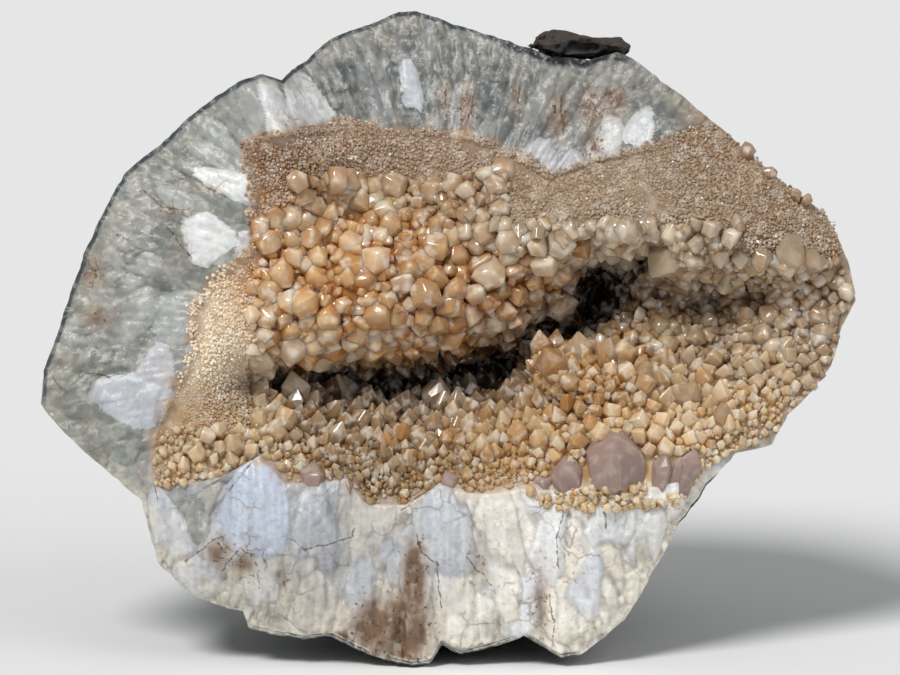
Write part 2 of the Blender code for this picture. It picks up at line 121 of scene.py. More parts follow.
# %% Depth of the face
LANDFORMS = {
    "rim of the left lobe": [
        (-69, 217, 8), (-92, 204, 11), (-119, 181, 14), (-137, 143, 15), (-149, 108, 15), (-140, 84, 15),
        (-127, 73, 13), (-113, 61, 12),
    ],
    "rim of the top lobe": [
        (-54, 223, 38), (-30, 236, 40), (-12, 241, 40), (15, 232, 37), (52, 223, 35), (77, 216, 35),
        (110, 188, 31), (138, 166, 26),
    ],
    "rim at the right": [(150, 134, 24), (140, 110, 20), (124, 92, 16), (105, 78, 12), (94, 67, 10)],
    "rim at the bottom": [
        (74, 34, 12), (57, 11, 12), (41, 3, 10), (16, 7, 11), (-14, 0, 10), (-44, 11, 12), (-74, 14, 13),
        (-107, 38, 13),
    ],
    "left lobe": [
        (-121, 152, 7), (-99, 171, 5), (-73, 196, 3), (-128, 98, 9), (-92, 138, 5), (-86, 160, 3),
        (-106, 116, 6), (-110, 79, 7), (-66, 175, 3),
    ],
    "step beside the left lobe": [(-64, 209, 4), (-56, 194, 2), (-48, 184, 4)],
    "foot of the step": [(-54, 213, 30), (-44, 198, 28), (-36, 184, 26)],
    "top lobe": [(-37, 222, 34), (0, 215, 31), (40, 211, 29), (73, 204, 29)],
    "top of the druse shelf": [
        (-28, 197, 28), (0, 195, 26), (36, 178, 22), (55, 184, 22), (84, 192, 22), (114, 174, 18),
    ],
    "edge of the shelf": [
        (0, 165, 20), (18, 160, 14), (40, 154, 12), (66, 156, 10), (88, 151, 8), (114, 151, 10),
        (132, 148, 13),
    ],
    "middle of the shelf": [(70, 171, 14), (99, 171, 12), (125, 162, 14)],
    "under the shelf": [(70, 143, 46), (92, 138, 42), (114, 138, 36), (139, 143, 25)],
    "right crust": [
        (62, 127, 45), (84, 127, 36), (106, 123, 30), (128, 134, 26), (145, 134, 23), (92, 108, 27),
        (114, 105, 21), (128, 101, 18), (106, 87, 11),
    ],
    "top of the honey mound": [(-37, 178, 26), (-11, 178, 28), (-18, 160, 20), (-44, 160, 14)],
    "honey mound": [
        (-55, 138, 9), (-37, 134, 11), (-11, 142, 15), (11, 149, 22), (26, 138, 24), (11, 130, 22),
        (-18, 123, 20), (-48, 120, 14), (40, 145, 32),
    ],
    "foot of the mound": [
        (-66, 113, 20), (-44, 114, 27), (-18, 115, 34), (0, 117, 39), (22, 121, 42), (40, 132, 46),
    ],
    "slit": [
        (-64, 105, 48), (-42, 106, 60), (-18, 104, 64), (0, 107, 70), (18, 114, 74), (35, 121, 76),
        (46, 127, 76), (53, 137, 74), (58, 146, 64), (70, 150, 54),
    ],
    "floor of the hollow": [(-59, 97, 26), (-37, 96, 36), (-11, 96, 42), (11, 100, 46), (31, 107, 44)],
    "ridge": [(35, 111, 25), (51, 113, 20), (70, 105, 16), (88, 97, 14), (103, 87, 8)],
    "lower crust": [
        (-73, 90, 8), (-55, 83, 10), (-33, 83, 15), (-11, 83, 17), (11, 86, 15), (33, 90, 10), (55, 90, 6),
        (77, 86, 5), (-84, 112, 6), (-75, 130, 5),
    ],
    "seam": [
        (-108, 68, 6), (-86, 68, 3), (-69, 76, 1), (-38, 70, 1), (-4, 68, 0), (26, 66, 0), (55, 64, 0),
        (71, 61, 1), (90, 68, 5),
    ],
    "bottom wall": [
        (-92, 46, 6), (-62, 39, 4), (-33, 39, 6), (-4, 39, 4), (26, 39, 5), (55, 39, 5), (-55, 20, 9),
        (-18, 17, 10), (18, 20, 9), (48, 17, 9),
    ],
}
SPOT_SOFTNESS = 5.0
MEAN_DEPTH = 18.0
spots = np.array([spot for group in LANDFORMS.values() for spot in group], float)


def spot_kernel(across, up):
    apart = np.stack([across, up], axis=-1)[:, None, :] - spots[None, :, :2]
    return np.sqrt((apart ** 2).sum(axis=2) + SPOT_SOFTNESS ** 2)


spot_weights = np.linalg.solve(spot_kernel(spots[:, 0], spots[:, 1]), spots[:, 2] - MEAN_DEPTH)


def face_depth(across, up):
    """How far back the face lies, for arrays of places."""
    across, up = np.broadcast_arrays(np.asarray(across, float), np.asarray(up, float))
    flat = [spot_kernel(a, u) @ spot_weights for a, u in zip(
        np.array_split(across.ravel(), 40), np.array_split(up.ravel(), 40))]
    return np.concatenate(flat).reshape(across.shape) + MEAN_DEPTH


def face_normal(across, up, reach=2.5):
    """The direction that looks out of the face, in the drawing."""
    right = (face_depth(across + reach, up) - face_depth(across - reach, up)) / (2 * reach)
    above = (face_depth(across, up + reach) - face_depth(across, up - reach)) / (2 * reach)
    out = np.stack([right, above, -np.ones_like(right)], axis=-1)
    return out / np.linalg.norm(out, axis=-1, keepdims=True)


print("depth at the throat:", round(float(face_depth(np.array([52.0]), np.array([130.0]))[0]), 1), "mm")

# %% [markdown]
# Colours are written as they look on a screen, from 0 to 255, and turned into the linear values that a
# shader works with.

# %% Colours
def linear(red, green, blue):
    values = np.array((red, green, blue), float) / 255.0
    return np.where(values <= 0.04045, values / 12.92, ((values + 0.055) / 1.055) ** 2.4)


MILK = linear(226, 228, 228)
MAUVE = linear(158, 134, 124)
SLATE = linear(62, 70, 74)
print("milky quartz as a linear colour:", MILK.round(2))

# %% [markdown]
# Two small helpers make meshes from arrays, with one colour for each point. Building them face by face in
# bmesh would take minutes for this many faces, and a colour for each point lets one material serve all of a
# piece, because each crystal carries its own tint.

# %% Mesh helpers
FAR_FROM_CRACK = 9.0


def mesh_piece(name, points, triangles, tint, smooth, stain=0.0, crack=FAR_FROM_CRACK):
    mesh = bpy.data.meshes.new(name)
    mesh.vertices.add(len(points))
    mesh.vertices.foreach_set("co", np.ascontiguousarray(points, np.float32).ravel())
    mesh.loops.add(len(triangles) * 3)
    mesh.loops.foreach_set("vertex_index", np.ascontiguousarray(triangles, np.int32).ravel())
    mesh.polygons.add(len(triangles))
    mesh.polygons.foreach_set("loop_start", np.arange(0, len(triangles) * 3, 3, dtype=np.int32))
    mesh.update(calc_edges=True)
    mesh.validate()
    mesh.polygons.foreach_set("use_smooth", np.full(len(mesh.polygons), smooth))
    colours = mesh.color_attributes.new("tint", "FLOAT_COLOR", "POINT")
    rgba = np.ones((len(points), 4), np.float32)
    rgba[:, :3] = np.clip(tint, 0.0, 1.0)
    colours.data.foreach_set("color", rgba.ravel())
    for title, values in (("stain", stain), ("crack", crack)):
        spread = np.broadcast_to(np.asarray(values, np.float32), len(points))
        mesh.attributes.new(title, "FLOAT", "POINT").data.foreach_set("value", np.ascontiguousarray(spread))
    piece = bpy.data.objects.new(name, mesh)
    bpy.context.scene.collection.objects.link(piece)
    print(name, "points", len(points), "triangles", len(triangles))
    return piece


def mesh_arrays(bm):
    """The points and the triangles of a bmesh, which is freed."""
    bmesh.ops.triangulate(bm, faces=bm.faces)
    bm.verts.index_update()
    points = np.array([vert.co[:] for vert in bm.verts])
    triangles = np.array([[vert.index for vert in face.verts] for face in bm.faces])
    bm.free()
    return points, triangles


def point_noise(points, size, seed):
    """Smooth noise between about -1 and 1 at each point, for points in millimetres."""
    shift = Vector((seed * 17.3, seed * 5.1, seed * 9.7))
    return np.array([noise.noise(Vector(p) / size + shift) for p in points.tolist()])


def blend(first, second, share):
    share = np.asarray(share)[..., None]
    return first * (1.0 - share) + second * share


def smooth_step(low, high, value):
    t = np.clip((value - low) / (high - low), 0.0, 1.0)
    return t * t * (3.0 - 2.0 * t)


def spot(across, up, middle_across, middle_up, reach_across, reach_up):
    """A round, soft spot on the drawing: 1 in its middle, fading over its reach."""
    return np.exp(-((across - middle_across) / reach_across) ** 2 - ((up - middle_up) / reach_up) ** 2)


def strongest(spots, across, up):
    """The strongest of some spots at each place. Each is a middle, a reach and a strength."""
    return np.maximum.reduce([strength * spot(across, up, *place) for *place, strength in spots])


print("a smooth step, half way:", smooth_step(0.0, 1.0, 0.5))

# %% [markdown]
# The broken wall shows blades of quartz that grew inwards from the skin and widen towards the hollow. They
# could be modelled one by one, but they have grown into each other. So each blade is a roof-shaped height
# with its own tilt, and the surface is the highest roof at every point, with a valley where two meet. Where
# the runner-up is nearly as high there is a seam, which is where stain gathers.
# Most blades are set by a seeded draw. The ones that stand out in the photograph are listed one by one.

# %% Blades of the broken wall
BLADE_ROWS = [
    # share of the way from seam to rim, spacing around, half width, half length, height
    (0.05, 11.0, 6.4, 15.0, 3.6),
    (0.26, 9.0, 5.2, 14.0, 3.4),
    (0.46, 8.0, 4.6, 12.0, 3.0),
    (0.64, 6.5, 3.8, 9.0, 2.4),
    (0.80, 4.5, 2.6, 6.0, 1.8),
    (0.92, 3.2, 1.8, 3.6, 1.2),
    (0.99, 2.4, 1.4, 2.2, 0.8),
]
BLADE_TILT = 0.24
# Stretches of the way around, in radians from the right, against the clock
BOTTOM = (3.75, 5.6)
TOP = (0.6, 2.05)
TOP_AND_LEFT = (0.6, 3.6)
NARROWER = 0.62
FLATTER = 0.55
STRAIGHT_DOWN = 1.5 * math.pi
LONGER = 1.5
PLATEAU = 0.36
BLADE_TAPER = 0.38
BLADE_CORNER = 0.64
CLIFF = 3.0
DEEPEST_CREVICE = -3.2

# across, up, direction in degrees, half width, half length, lift, kind of quartz
SHOWN_BLADES = [
    (-89, 158, 125, 7.5, 9.5, 2.0, "white"), (-83, 177, 160, 4.0, 12.0, 2.0, "white"),
    (-98, 170, 150, 4.0, 10.0, 1.2, "grey"), (-74, 153, 100, 5.0, 6.0, 1.4, "lilac"),
    (-106, 110, 80, 6.0, 7.5, 2.4, "lilac"), (-92, 108, 90, 4.5, 7.5, 1.6, "blue"),
    (-120, 99, 165, 8.0, 13.0, 2.2, "blue"), (-106, 97, 60, 5.5, 6.0, 1.8, "lilac"),
    (-98, 128, 20, 9.0, 13.0, 1.2, "grey"), (-118, 127, 30, 8.0, 12.0, 0.6, "grey"),
    (-52, 206, 118, 6.0, 14.0, 2.6, "white"), (-63, 203, 112, 5.0, 13.0, 2.2, "white"),
    (-72, 205, 115, 4.5, 11.0, 1.6, "grey"), (-118, 84, 40, 7.0, 8.0, 1.5, "green"),
    (-15, 212, 95, 4.5, 10.0, 1.2, "blue"), (-40, 208, 110, 5.0, 10.0, -0.5, "dark"),
    (33, 186, 80, 6.5, 6.5, 1.8, "lilac"), (44, 184, 70, 5.0, 6.0, 1.2, "lilac"),
    (99, 189, 60, 5.5, 6.5, 2.2, "lilac"), (58, 194, 70, 5.0, 9.0, 1.6, "white"),
    (70, 196, 65, 5.5, 8.0, 1.4, "white"), (8, 190, 85, 4.0, 6.0, 1.6, "white"),
    (-69, 61, 90, 10.0, 18.5, 3.6, "bright"), (-50, 55, 88, 7.5, 14.0, 2.8, "blue"),
    (-4, 55, 82, 10.5, 17.0, 3.0, "blue"), (60, 54, 85, 9.0, 10.0, 2.4, "white"),
    (16, 46, 88, 9.5, 20.0, 2.2, "cream"), (36, 47, 80, 5.5, 16.0, 2.4, "white"),
    (-103, 52, 110, 5.5, 14.0, 2.4, "blue"), (-92, 55, 95, 4.0, 9.0, 1.8, "grey"),
    (-84, 45, 70, 6.5, 9.0, 1.6, "blue"), (-33, 28, 80, 6.0, 13.0, 2.2, "blue"),
    (-50, 26, 95, 6.0, 12.0, 1.8, "cream"), (-96, 38, 125, 6.0, 12.0, 1.8, "blue"),
    (-70, 33, 110, 5.0, 10.0, 1.5, "white"), (-28, 50, 88, 6.0, 11.0, 1.6, "blue"),
    (2, 22, 85, 7.0, 14.0, 1.6, "cream"), (28, 24, 75, 5.0, 13.0, 2.0, "blue"),
    (50, 30, 70, 6.0, 13.0, 2.0, "blue"), (72, 48, 65, 5.5, 12.0, 2.0, "white"),
    (42, 20, 75, 5.0, 10.0, 1.6, "cream"), (80, 62, 60, 5.0, 8.0, 1.6, "white"),
]
KIND_NAMES = ["random", "white", "blue", "lilac", "cream", "grey", "green", "dark", "bright"]
KINDS = {name: number for number, name in enumerate(KIND_NAMES)}


def place_blades(seed):
    """Blades: across, up, direction, half width, half length, lift, height, two tilts and the kind."""
    rng = random.Random(seed)
    rows = []
    for share, spacing, half_width, half_length, height in BLADE_ROWS:
        angle = rng.uniform(0.0, 0.1)
        while angle < 2 * math.pi:
            inner = float(radius_at(seam, angle))
            outer = float(radius_at(rim, angle))
            radius = inner + (outer - inner) * (share + rng.uniform(-0.10, 0.10))
            size = rng.uniform(0.6, 1.5) * min(1.0, (outer - inner) / 36.0 + 0.3)
            narrow = NARROWER if TOP[0] < angle < TOP[1] else 1.0
            flat = FLATTER if TOP_AND_LEFT[0] < angle < TOP_AND_LEFT[1] else 1.0
            direction, longer = angle, 1.0
            if BOTTOM[0] < angle < BOTTOM[1]:
                direction, longer = STRAIGHT_DOWN + 0.45 * (angle - STRAIGHT_DOWN), LONGER
            rows.append((
                CENTRE[0] + radius * math.cos(angle), CENTRE[1] + radius * math.sin(angle),
                direction + rng.uniform(-0.28, 0.28) / longer, half_width * size * narrow,
                half_length * size * longer * rng.uniform(0.75, 1.3), rng.uniform(-0.5, 0.5) * height * flat,
                height * size * flat, rng.uniform(-1, 1) * BLADE_TILT * flat,
                rng.uniform(-1, 1) * BLADE_TILT * flat, 0))
            angle += spacing * narrow * rng.uniform(0.7, 1.3) / radius
    for across, up, direction, half_width, half_length, lift, kind in SHOWN_BLADES:
        rows.append((
            across, up, math.radians(direction), half_width, half_length, lift, 3.4,
            rng.uniform(-0.5, 0.5) * BLADE_TILT, rng.uniform(-0.5, 0.5) * BLADE_TILT, KINDS[kind]))
    return np.array(rows)


def blade_relief(across, up, blades):
    """Height of the highest blade, which blade it is, and how far the next one lies below it."""
    heights, owners, margins = [], [], []
    for a, u in zip(np.array_split(across, 80), np.array_split(up, 80)):
        da = a[:, None] - blades[None, :, 0]
        du = u[:, None] - blades[None, :, 1]
        cosine, sine = np.cos(blades[:, 2]), np.sin(blades[:, 2])
        along = da * cosine + du * sine
        beside = du * cosine - da * sine
        end = np.abs(along) / blades[:, 4]
        narrowing = 1.0 - BLADE_TAPER * np.clip(along / blades[:, 4], -1.0, 1.0)
        flank = np.abs(beside) / (blades[:, 3] * narrowing)
        roof = np.maximum(BLADE_CORNER * (flank + end), np.maximum(flank, end))
        slope = np.where(roof < 1.0, np.minimum(1.0 - roof, PLATEAU), CLIFF * (1.0 - roof))
        height = blades[:, 5] + blades[:, 6] * slope
        height = height + np.clip(along * blades[:, 7] + beside * blades[:, 8], -2.5, 2.5)
        height = np.maximum(height, -30.0 - roof)
        rows = np.arange(len(a))
        best = height.argmax(axis=1)
        top = height[rows, best]
        height[rows, best] = -99.0
        heights.append(np.maximum(top, DEEPEST_CREVICE))
        owners.append(best)
        margins.append(top - height.max(axis=1))
    return np.concatenate(heights), np.concatenate(owners), np.concatenate(margins)


blades = place_blades(11)
print("blades of the wall:", len(blades))

# %% [markdown]
# Every place on the face has a share: 0 at the seam, 1 at the rim, and less than 0 in the crust. The seam is
# ragged, so noise moves it to and fro. The height of the real surface at a place is used twice, for the wall
# itself and for the grains that sit on it.

# %% Height of the real surface
# The bottom wall begins between these two heights
BOTTOM_WALL = (84, 72)
FLOOR_DROP = -0.3
RIM_FADE = 0.965
FINE_FIBRES = (1.6, 14.0, 61)
BROAD_FIBRES = (4.5, 30.0, 62)


def wall_share(across, up):
    off_a, off_u = across - CENTRE[0], up - CENTRE[1]
    angle = np.arctan2(off_u, off_a)
    inner, outer = radius_at(seam, angle), radius_at(rim, angle)
    inner = np.minimum(inner, outer - 2.5)
    radius = np.hypot(off_a, off_u)
    return (radius - inner) / (outer - inner), outer - inner, radius - inner


def drawn_noise(across, up, size, seed):
    return point_noise(np.stack([across, up, 0 * up], axis=1), size, seed)


def fibres(across, up, wide, long, seed):
    """Noise drawn out the way the quartz grew: away from the hollow, and straight down at the bottom."""
    off_a, off_u = across - CENTRE[0], up - CENTRE[1]
    radius, angle = np.hypot(off_a, off_u), np.arctan2(off_u, off_a)
    fan = np.stack([np.cos(angle) * 100 / wide, np.sin(angle) * 100 / wide, radius / long], axis=1)
    straight = np.stack([across / wide, up / long, 0 * up], axis=1)
    low = smooth_step(*BOTTOM_WALL, up)
    return point_noise(fan, 1.0, seed) * (1 - low) + point_noise(straight, 1.0, seed) * low


def surface_lift(across, up):
    """Height over the smooth face, the blade there and its margin over the next one."""
    share, width, beyond = wall_share(across, up)
    relief, owner, margin = np.zeros(len(across)), np.zeros(len(across), int), np.full(len(across), 9.0)
    on_wall = beyond > -1.5
    relief[on_wall], owner[on_wall], margin[on_wall] = blade_relief(across[on_wall], up[on_wall], blades)
    relief = relief * np.clip(width / 25.0, 0.2, 1.0) + 0.9 * drawn_noise(across, up, 13.0, 23)
    grain = drawn_noise(across, up, 2.2, 21) * (0.25 + 0.4 * smooth_step(0.45, 0.95, share))
    ripple = drawn_noise(across, up, 5.5, 22) * 0.45
    fade = smooth_step(1.02, RIM_FADE, share)
    lift = (relief + grain + ripple) * (0.25 + 0.75 * fade)
    inside_now = smooth_step(1.0, -1.0, beyond)
    return lift * (1 - inside_now) - FLOOR_DROP * inside_now, owner, margin, share


straight_down = wall_share(CENTRE[:1], np.array([30.0]))[1]
print("wall between seam and rim, straight down:", round(float(straight_down[0]), 1), "mm")

# %% [markdown]
# Colour follows the blades. Each has its own quartz, milky, blue or grey, chosen by where it grew: bright and
# milky at the bottom, grey at the left, duller at the top. Towards the crust the colour turns sugary tan.
# Brown stain lies along some of the seams and in a few patches.

# %% Colour of the broken wall
STAIN_PATCHES = [
    # across, up, reach across, reach up, strength
    (-13, 32, 4, 14, 1.5), (-16, 14, 8, 13, 1.5), (-27, 14, 8, 10, 1.5), (-41, 10, 5, 3, 1.5),
    (33, 24, 4, 15, 0.6), (-84, 42, 5, 6, 0.9), (-75, 38, 5, 5, 0.8), (10, 38, 5, 12, 0.35),
    (-60, 34, 4, 8, 0.35), (44, 38, 4, 12, 0.3), (-90, 175, 9, 3, 0.35), (-101, 166, 9, 3, 0.4),
    (-98, 155, 4, 6, 0.3), (-131, 144, 5, 6, 0.7), (-128, 128, 6, 5, 0.5), (-90, 132, 4, 3, 0.7),
    (6, 205, 3, 9, 0.8), (40, 202, 4, 8, 0.8), (52, 204, 5, 8, 0.8), (60, 207, 4, 6, 0.9),
    (53, 191, 4, 7, 0.7), (-2, 208, 3, 7, 0.5), (25, 208, 3, 6, 0.5), (-58, 198, 6, 4, 0.4),
    (-14, 186, 20, 7, 0.4), (100, 196, 8, 5, 0.5),
]
CRACKS = [
    [(-97.5, 180.5), (-91.7, 177.2), (-82.6, 171.7)],
    [(-111.6, 173.6), (-105.2, 168.6), (-101.6, 167.2), (-95.4, 167.2)],
    [(-103, 160.8), (-100.2, 157.2), (-97.5, 153.6), (-94.4, 149.5)],
    [(-122.5, 158.6), (-118, 156.4)],
    [(-134.4, 108.2), (-124.2, 106.3), (-118.9, 107.2)],
    [(-144.3, 105.6), (-140.7, 100.9)],
    [(-132.2, 148), (-129.3, 142.9), (-130.8, 139.6)],
    [(-1.5, 213), (-1.5, 206.1)],
    [(9.5, 210.8), (7.7, 204.2), (5.8, 198.8)],
    [(41.3, 209), (40.6, 202.8), (41.6, 195.8)],
    [(55.3, 196.9), (53.3, 191.8), (51.1, 187.1)],
    [(51.1, 207.5), (55.2, 201.7)],
    [(59.2, 210.1), (61.7, 205.7)],
    [(25.6, 212.3), (24.5, 205.7)],
    [(-96.2, 39.1), (-88.4, 45.3), (-83.3, 47.9)],
    [(-85.1, 40.9), (-80.7, 39.1), (-82.6, 35.8)],
    [(-79.8, 40.2), (-76.4, 43.5), (-72.1, 41.8)],
    [(-69.5, 35.8), (-69.5, 29.6)],
    [(-57.4, 47), (-53.1, 43.5), (-43.6, 45.3), (-35.8, 47.9), (-35.1, 50.4)],
    [(-12.2, 48.7), (-10, 41.8), (-4.9, 38.4), (-3.1, 22.8)],
    [(-79.8, 65.1), (-74.5, 72), (-68.7, 80.6)],
    [(-16.9, 58.1), (-9.1, 64.3), (0.4, 70.2), (5.5, 65.1)],
    [(6.4, 40.1), (9.9, 35.8), (15, 30.7)],
    [(-107.4, 65.9), (-106.7, 60.7)],
    [(36.2, 26), (38, 17.2), (37.3, 8.1)],
    [(40.9, 56.6), (38.7, 46.4), (39.5, 36.9)],
    [(57.4, 72), (55.5, 61), (57, 51.5)],
]
BLADE_COLOURS = np.array([
    MILK, linear(222, 224, 224), linear(212, 216, 223), linear(192, 191, 195), linear(232, 228, 219),
    linear(170, 173, 170), linear(146, 152, 145), linear(118, 123, 124), linear(238, 248, 266),
])
LEFT_GREYS = [linear(146, 148, 144), linear(132, 136, 130), linear(164, 166, 162)]
BOTTOM_MILKS = [linear(226, 227, 228), linear(212, 216, 222), linear(228, 225, 218)]
TOP_GREYS = [linear(128, 131, 129), linear(110, 115, 114), linear(148, 151, 150)]
CREAM = linear(236, 230, 214)
GREEN_GREY = linear(116, 118, 106)
RIM_CREAM = linear(218, 212, 196)
RIM_GREY = linear(178, 173, 160)
RIGHT_TAN = linear(170, 148, 124)
EDGE_GREY = linear(192, 196, 190)
PALE_STAIN = linear(186, 164, 138)
DEEP_STAIN = linear(96, 64, 38)
DRUSE_TAN = linear(172, 146, 120)
DRUSE_REACH = 5.0


def pick_by(owner, palette, seed):
    """One colour of the palette for each blade."""
    choice = np.random.default_rng(seed).integers(0, len(palette), len(blades))
    return np.array(palette)[choice][owner]


def crack_side(across, up):
    """Millimetres to the nearest drawn crack, above 0 on its one side and below 0 on its other."""
    nearest = np.full(len(across), FAR_FROM_CRACK)
    wander = 0.7 * drawn_noise(across, up, 3.0, 51)
    for line in CRACKS:
        for start, end in zip(line[:-1], line[1:]):
            run = np.subtract(end, start)
            length = np.hypot(*run)
            along = ((across - start[0]) * run[0] + (up - start[1]) * run[1]) / length
            beside = ((up - start[1]) * run[0] - (across - start[0]) * run[1]) / length + wander
            past_end = np.maximum(np.maximum(-along, along - length), 0.0)
            here = (past_end < 1.2) & (np.abs(beside) < np.abs(nearest))
            nearest = np.where(here, beside, nearest)
    return nearest


def wall_colours(across, up, owner, margin, lift, share, width):
    rng = np.random.default_rng(5)
    bright = rng.uniform(0.86, 1.08, len(blades))[owner]
    cloud = drawn_noise(across, up, 15.0, 1)
    fine = drawn_noise(across, up, 2.4, 2)
    streak = drawn_noise(across, up, 5.0, 7)
    left = smooth_step(-58, -68, across) * smooth_step(66, 80, up)
    low = smooth_step(*BOTTOM_WALL, up) * (1 - left)
    right = smooth_step(78, 98, across) * smooth_step(76, 92, up)
    top = np.clip(1.0 - left - low, 0, 1)
    grey = pick_by(owner, LEFT_GREYS, 1)
    milky = pick_by(owner, BOTTOM_MILKS, 2)
    creamy = smooth_step(0.25, 0.85, share + 0.25 * cloud)
    milky = blend(milky, CREAM, creamy * 0.75)
    dull = pick_by(owner, TOP_GREYS, 3)
    tint = grey * left[:, None] + milky * low[:, None] + dull * top[:, None]
    kind = blades[:, 9].astype(int)[owner]
    tint = np.where((kind > 0)[:, None], BLADE_COLOURS[kind], tint)
    duller = 0.15 * top * smooth_step(-75, -60, across) + 0.17 * left * smooth_step(155, 135, up)
    duller = duller * np.where(kind == 0, 1.0, 0.4)
    level = 1.0 - 0.07 * (1.0 - low) + 0.06 * low * smooth_step(0, 40, across) - duller
    tint = tint * (bright * level)[:, None]
    dim = low * smooth_step(25, -45, across)
    tint = blend(tint, tint * 0.62, dim * np.where(kind == KINDS["blue"], 0.8, 1.0))
    lower_left = left * smooth_step(150, 90, up)
    tint = blend(tint, GREEN_GREY, lower_left * 0.4 * smooth_step(-0.4, 0.4, cloud))
    near_rim = smooth_step(0.60, 0.97, share)
    rim_colour = np.where((low > 0.5)[:, None], RIM_CREAM, RIM_GREY)
    tint = blend(tint, rim_colour, near_rim * np.clip(0.4 + 0.6 * streak, 0, 0.85))
    tint = blend(tint, RIGHT_TAN, right * 0.9)
    stain = strongest(STAIN_PATCHES, across, up)
    in_seam = np.exp(-(margin / 0.35) ** 2)
    # Painted shade: the tint is darkened in the valleys where two blades meet, most on the bottom wall.
    painted_valley_shade = smooth_step(0.9, 0.0, margin)
    tint = tint * (1.0 - (0.06 + 0.16 * low) * painted_valley_shade)[:, None]
    pale_edge = np.exp(-((margin - 0.7) / 0.3) ** 2) * (1.0 - low) * smooth_step(-0.3, 0.3, cloud)
    tint = blend(tint, EDGE_GREY, pale_edge * 0.35)
    thread = in_seam * smooth_step(-0.1, 0.4, cloud + 0.3 * fine) * (0.25 + 0.4 * low)
    stained = smooth_step(0.15, 1.0, stain + 0.25 * fine + 0.2 * streak * (stain > 0.1))
    tint = blend(tint, PALE_STAIN, np.clip(stain * 0.8, 0, 1))
    tint = blend(tint, DEEP_STAIN, np.clip(0.5 * thread + stained, 0, 1) * 0.85)
    beyond = share * width
    sugary = smooth_step(DRUSE_REACH, 0.0, beyond + 5.0 * streak + 2.0 * fine)
    tint = blend(tint, DRUSE_TAN, sugary * np.where(low > 0.5, 0.35, 1.0) * 0.9)
    fibre = 0.11 * fibres(across, up, *FINE_FIBRES) + 0.10 * fibres(across, up, *BROAD_FIBRES)
    tint = tint * (1.0 + 0.06 * fine + fibre * smooth_step(0.0, 0.1, share))[:, None]
    # Painted shade: lower parts of the relief are darker and higher parts lighter.
    shade = np.clip(0.96 + 0.06 * lift, 0.6, 1.08)
    return tint * shade[:, None]


print("stain patches:", len(STAIN_PATCHES), "drawn cracks:", len(CRACKS))

# %% [markdown]
# The stone's skin shows as a thin dark line along the left and top of the face, and as a banded rind, black,
# white and grey, along the bottom. At the right the quartz goes right up to the edge.

# %% Colour of the skin at the rim
SKIN_LINE = (math.radians(58), math.radians(189))
BANDED_RIND = (math.radians(237), math.radians(299))
ROCK_SEAT = (math.radians(56), math.radians(78))
SOFT_GREY = linear(120, 126, 124)
SEAT_GREY = linear(92, 102, 108)
SEAT_BLACK = linear(36, 36, 38)
# Outer limit of each band in millimetres from the rim, and its colour
RIND_BANDS = [(0.55, linear(40, 44, 46)), (1.05, linear(176, 176, 168)), (1.5, linear(74, 78, 78)),
              (2.1, linear(196, 192, 180))]


def between(angles, reach, soft=0.03):
    turned = np.mod(angles, 2 * math.pi)
    after = smooth_step(reach[0] - soft, reach[0] + soft, turned)
    return after * smooth_step(reach[1] + soft, reach[1] - soft, turned)


def add_rim_skin(tint, angles, from_rim, across, up):
    wander = 0.35 * drawn_noise(across, up, 6.0, 31) + 0.15 * drawn_noise(across, up, 1.5, 32)
    line = smooth_step(1.9, 1.3, from_rim + wander) * between(angles, SKIN_LINE)
    soft_line = smooth_step(4.0, 1.2, from_rim) * between(angles, SKIN_LINE) * 0.5
    tint = blend(tint, SOFT_GREY, soft_line)
    tint = blend(tint, SLATE, line)
    seat = between(angles, ROCK_SEAT)
    to_seat = from_rim + 2.0 * wander
    tint = blend(tint, SEAT_GREY, smooth_step(5.0, 2.4, to_seat) * seat * 0.8)
    tint = blend(tint, SEAT_BLACK, smooth_step(3.4, 2.2, to_seat) * seat)
    rind = between(angles, BANDED_RIND) * smooth_step(-0.5, -0.2, drawn_noise(across, up, 14.0, 33))
    inner = 0.0
    for outer, colour in RIND_BANDS:
        here = (from_rim + wander >= inner) & (from_rim + wander < outer)
        tint = blend(tint, colour, here * rind)
        inner = outer
    return tint


print("bands of the rind:", len(RIND_BANDS))

# %% [markdown]
# The broken face is a disc of rings around a pole in the hollow: few rings under the crystals, many across
# the broken wall. It is closed behind by two more rings, inside the stone, so that it is a solid mesh.

# %% Build the broken face
AROUND = 1120
FLOOR_RINGS = 14
WALL_RINGS = 64
RIM_RINGS = (3.1, 2.6, 2.1, 1.7, 1.3, 0.95, 0.6, 0.3, 0.0)
RIM_INSET = 0.6
RIM_BITE = 0.45
FIBRE_HEIGHT = 0.45


def ragged_rim(angles):
    """The outline, a little inside the solid's, with small bites out of it."""
    around = np.stack([np.cos(angles) * 130, np.sin(angles) * 130, 0 * angles], axis=1)
    bites = point_noise(around, 6.0, 3) + 0.6 * point_noise(around, 2.2, 13)
    return radius_at(rim, angles) - RIM_INSET + RIM_BITE * bites


def ring_triangles(ring_count, around):
    """Triangles between rings of points, with a pole at either end."""
    starts = np.arange(ring_count)[:, None] * around
    this = starts + np.arange(around)
    following = starts + (np.arange(around) + 1) % around
    a, b, c, d = this[:-1].ravel(), following[:-1].ravel(), following[1:].ravel(), this[1:].ravel()
    first, last = ring_count * around, ring_count * around + 1
    fans = [
        np.stack([np.full(around, first), this[0], following[0]], axis=1),
        np.stack([np.full(around, last), following[-1], this[-1]], axis=1),
    ]
    return np.concatenate([np.stack([a, c, b], axis=1), np.stack([a, d, c], axis=1), *fans])


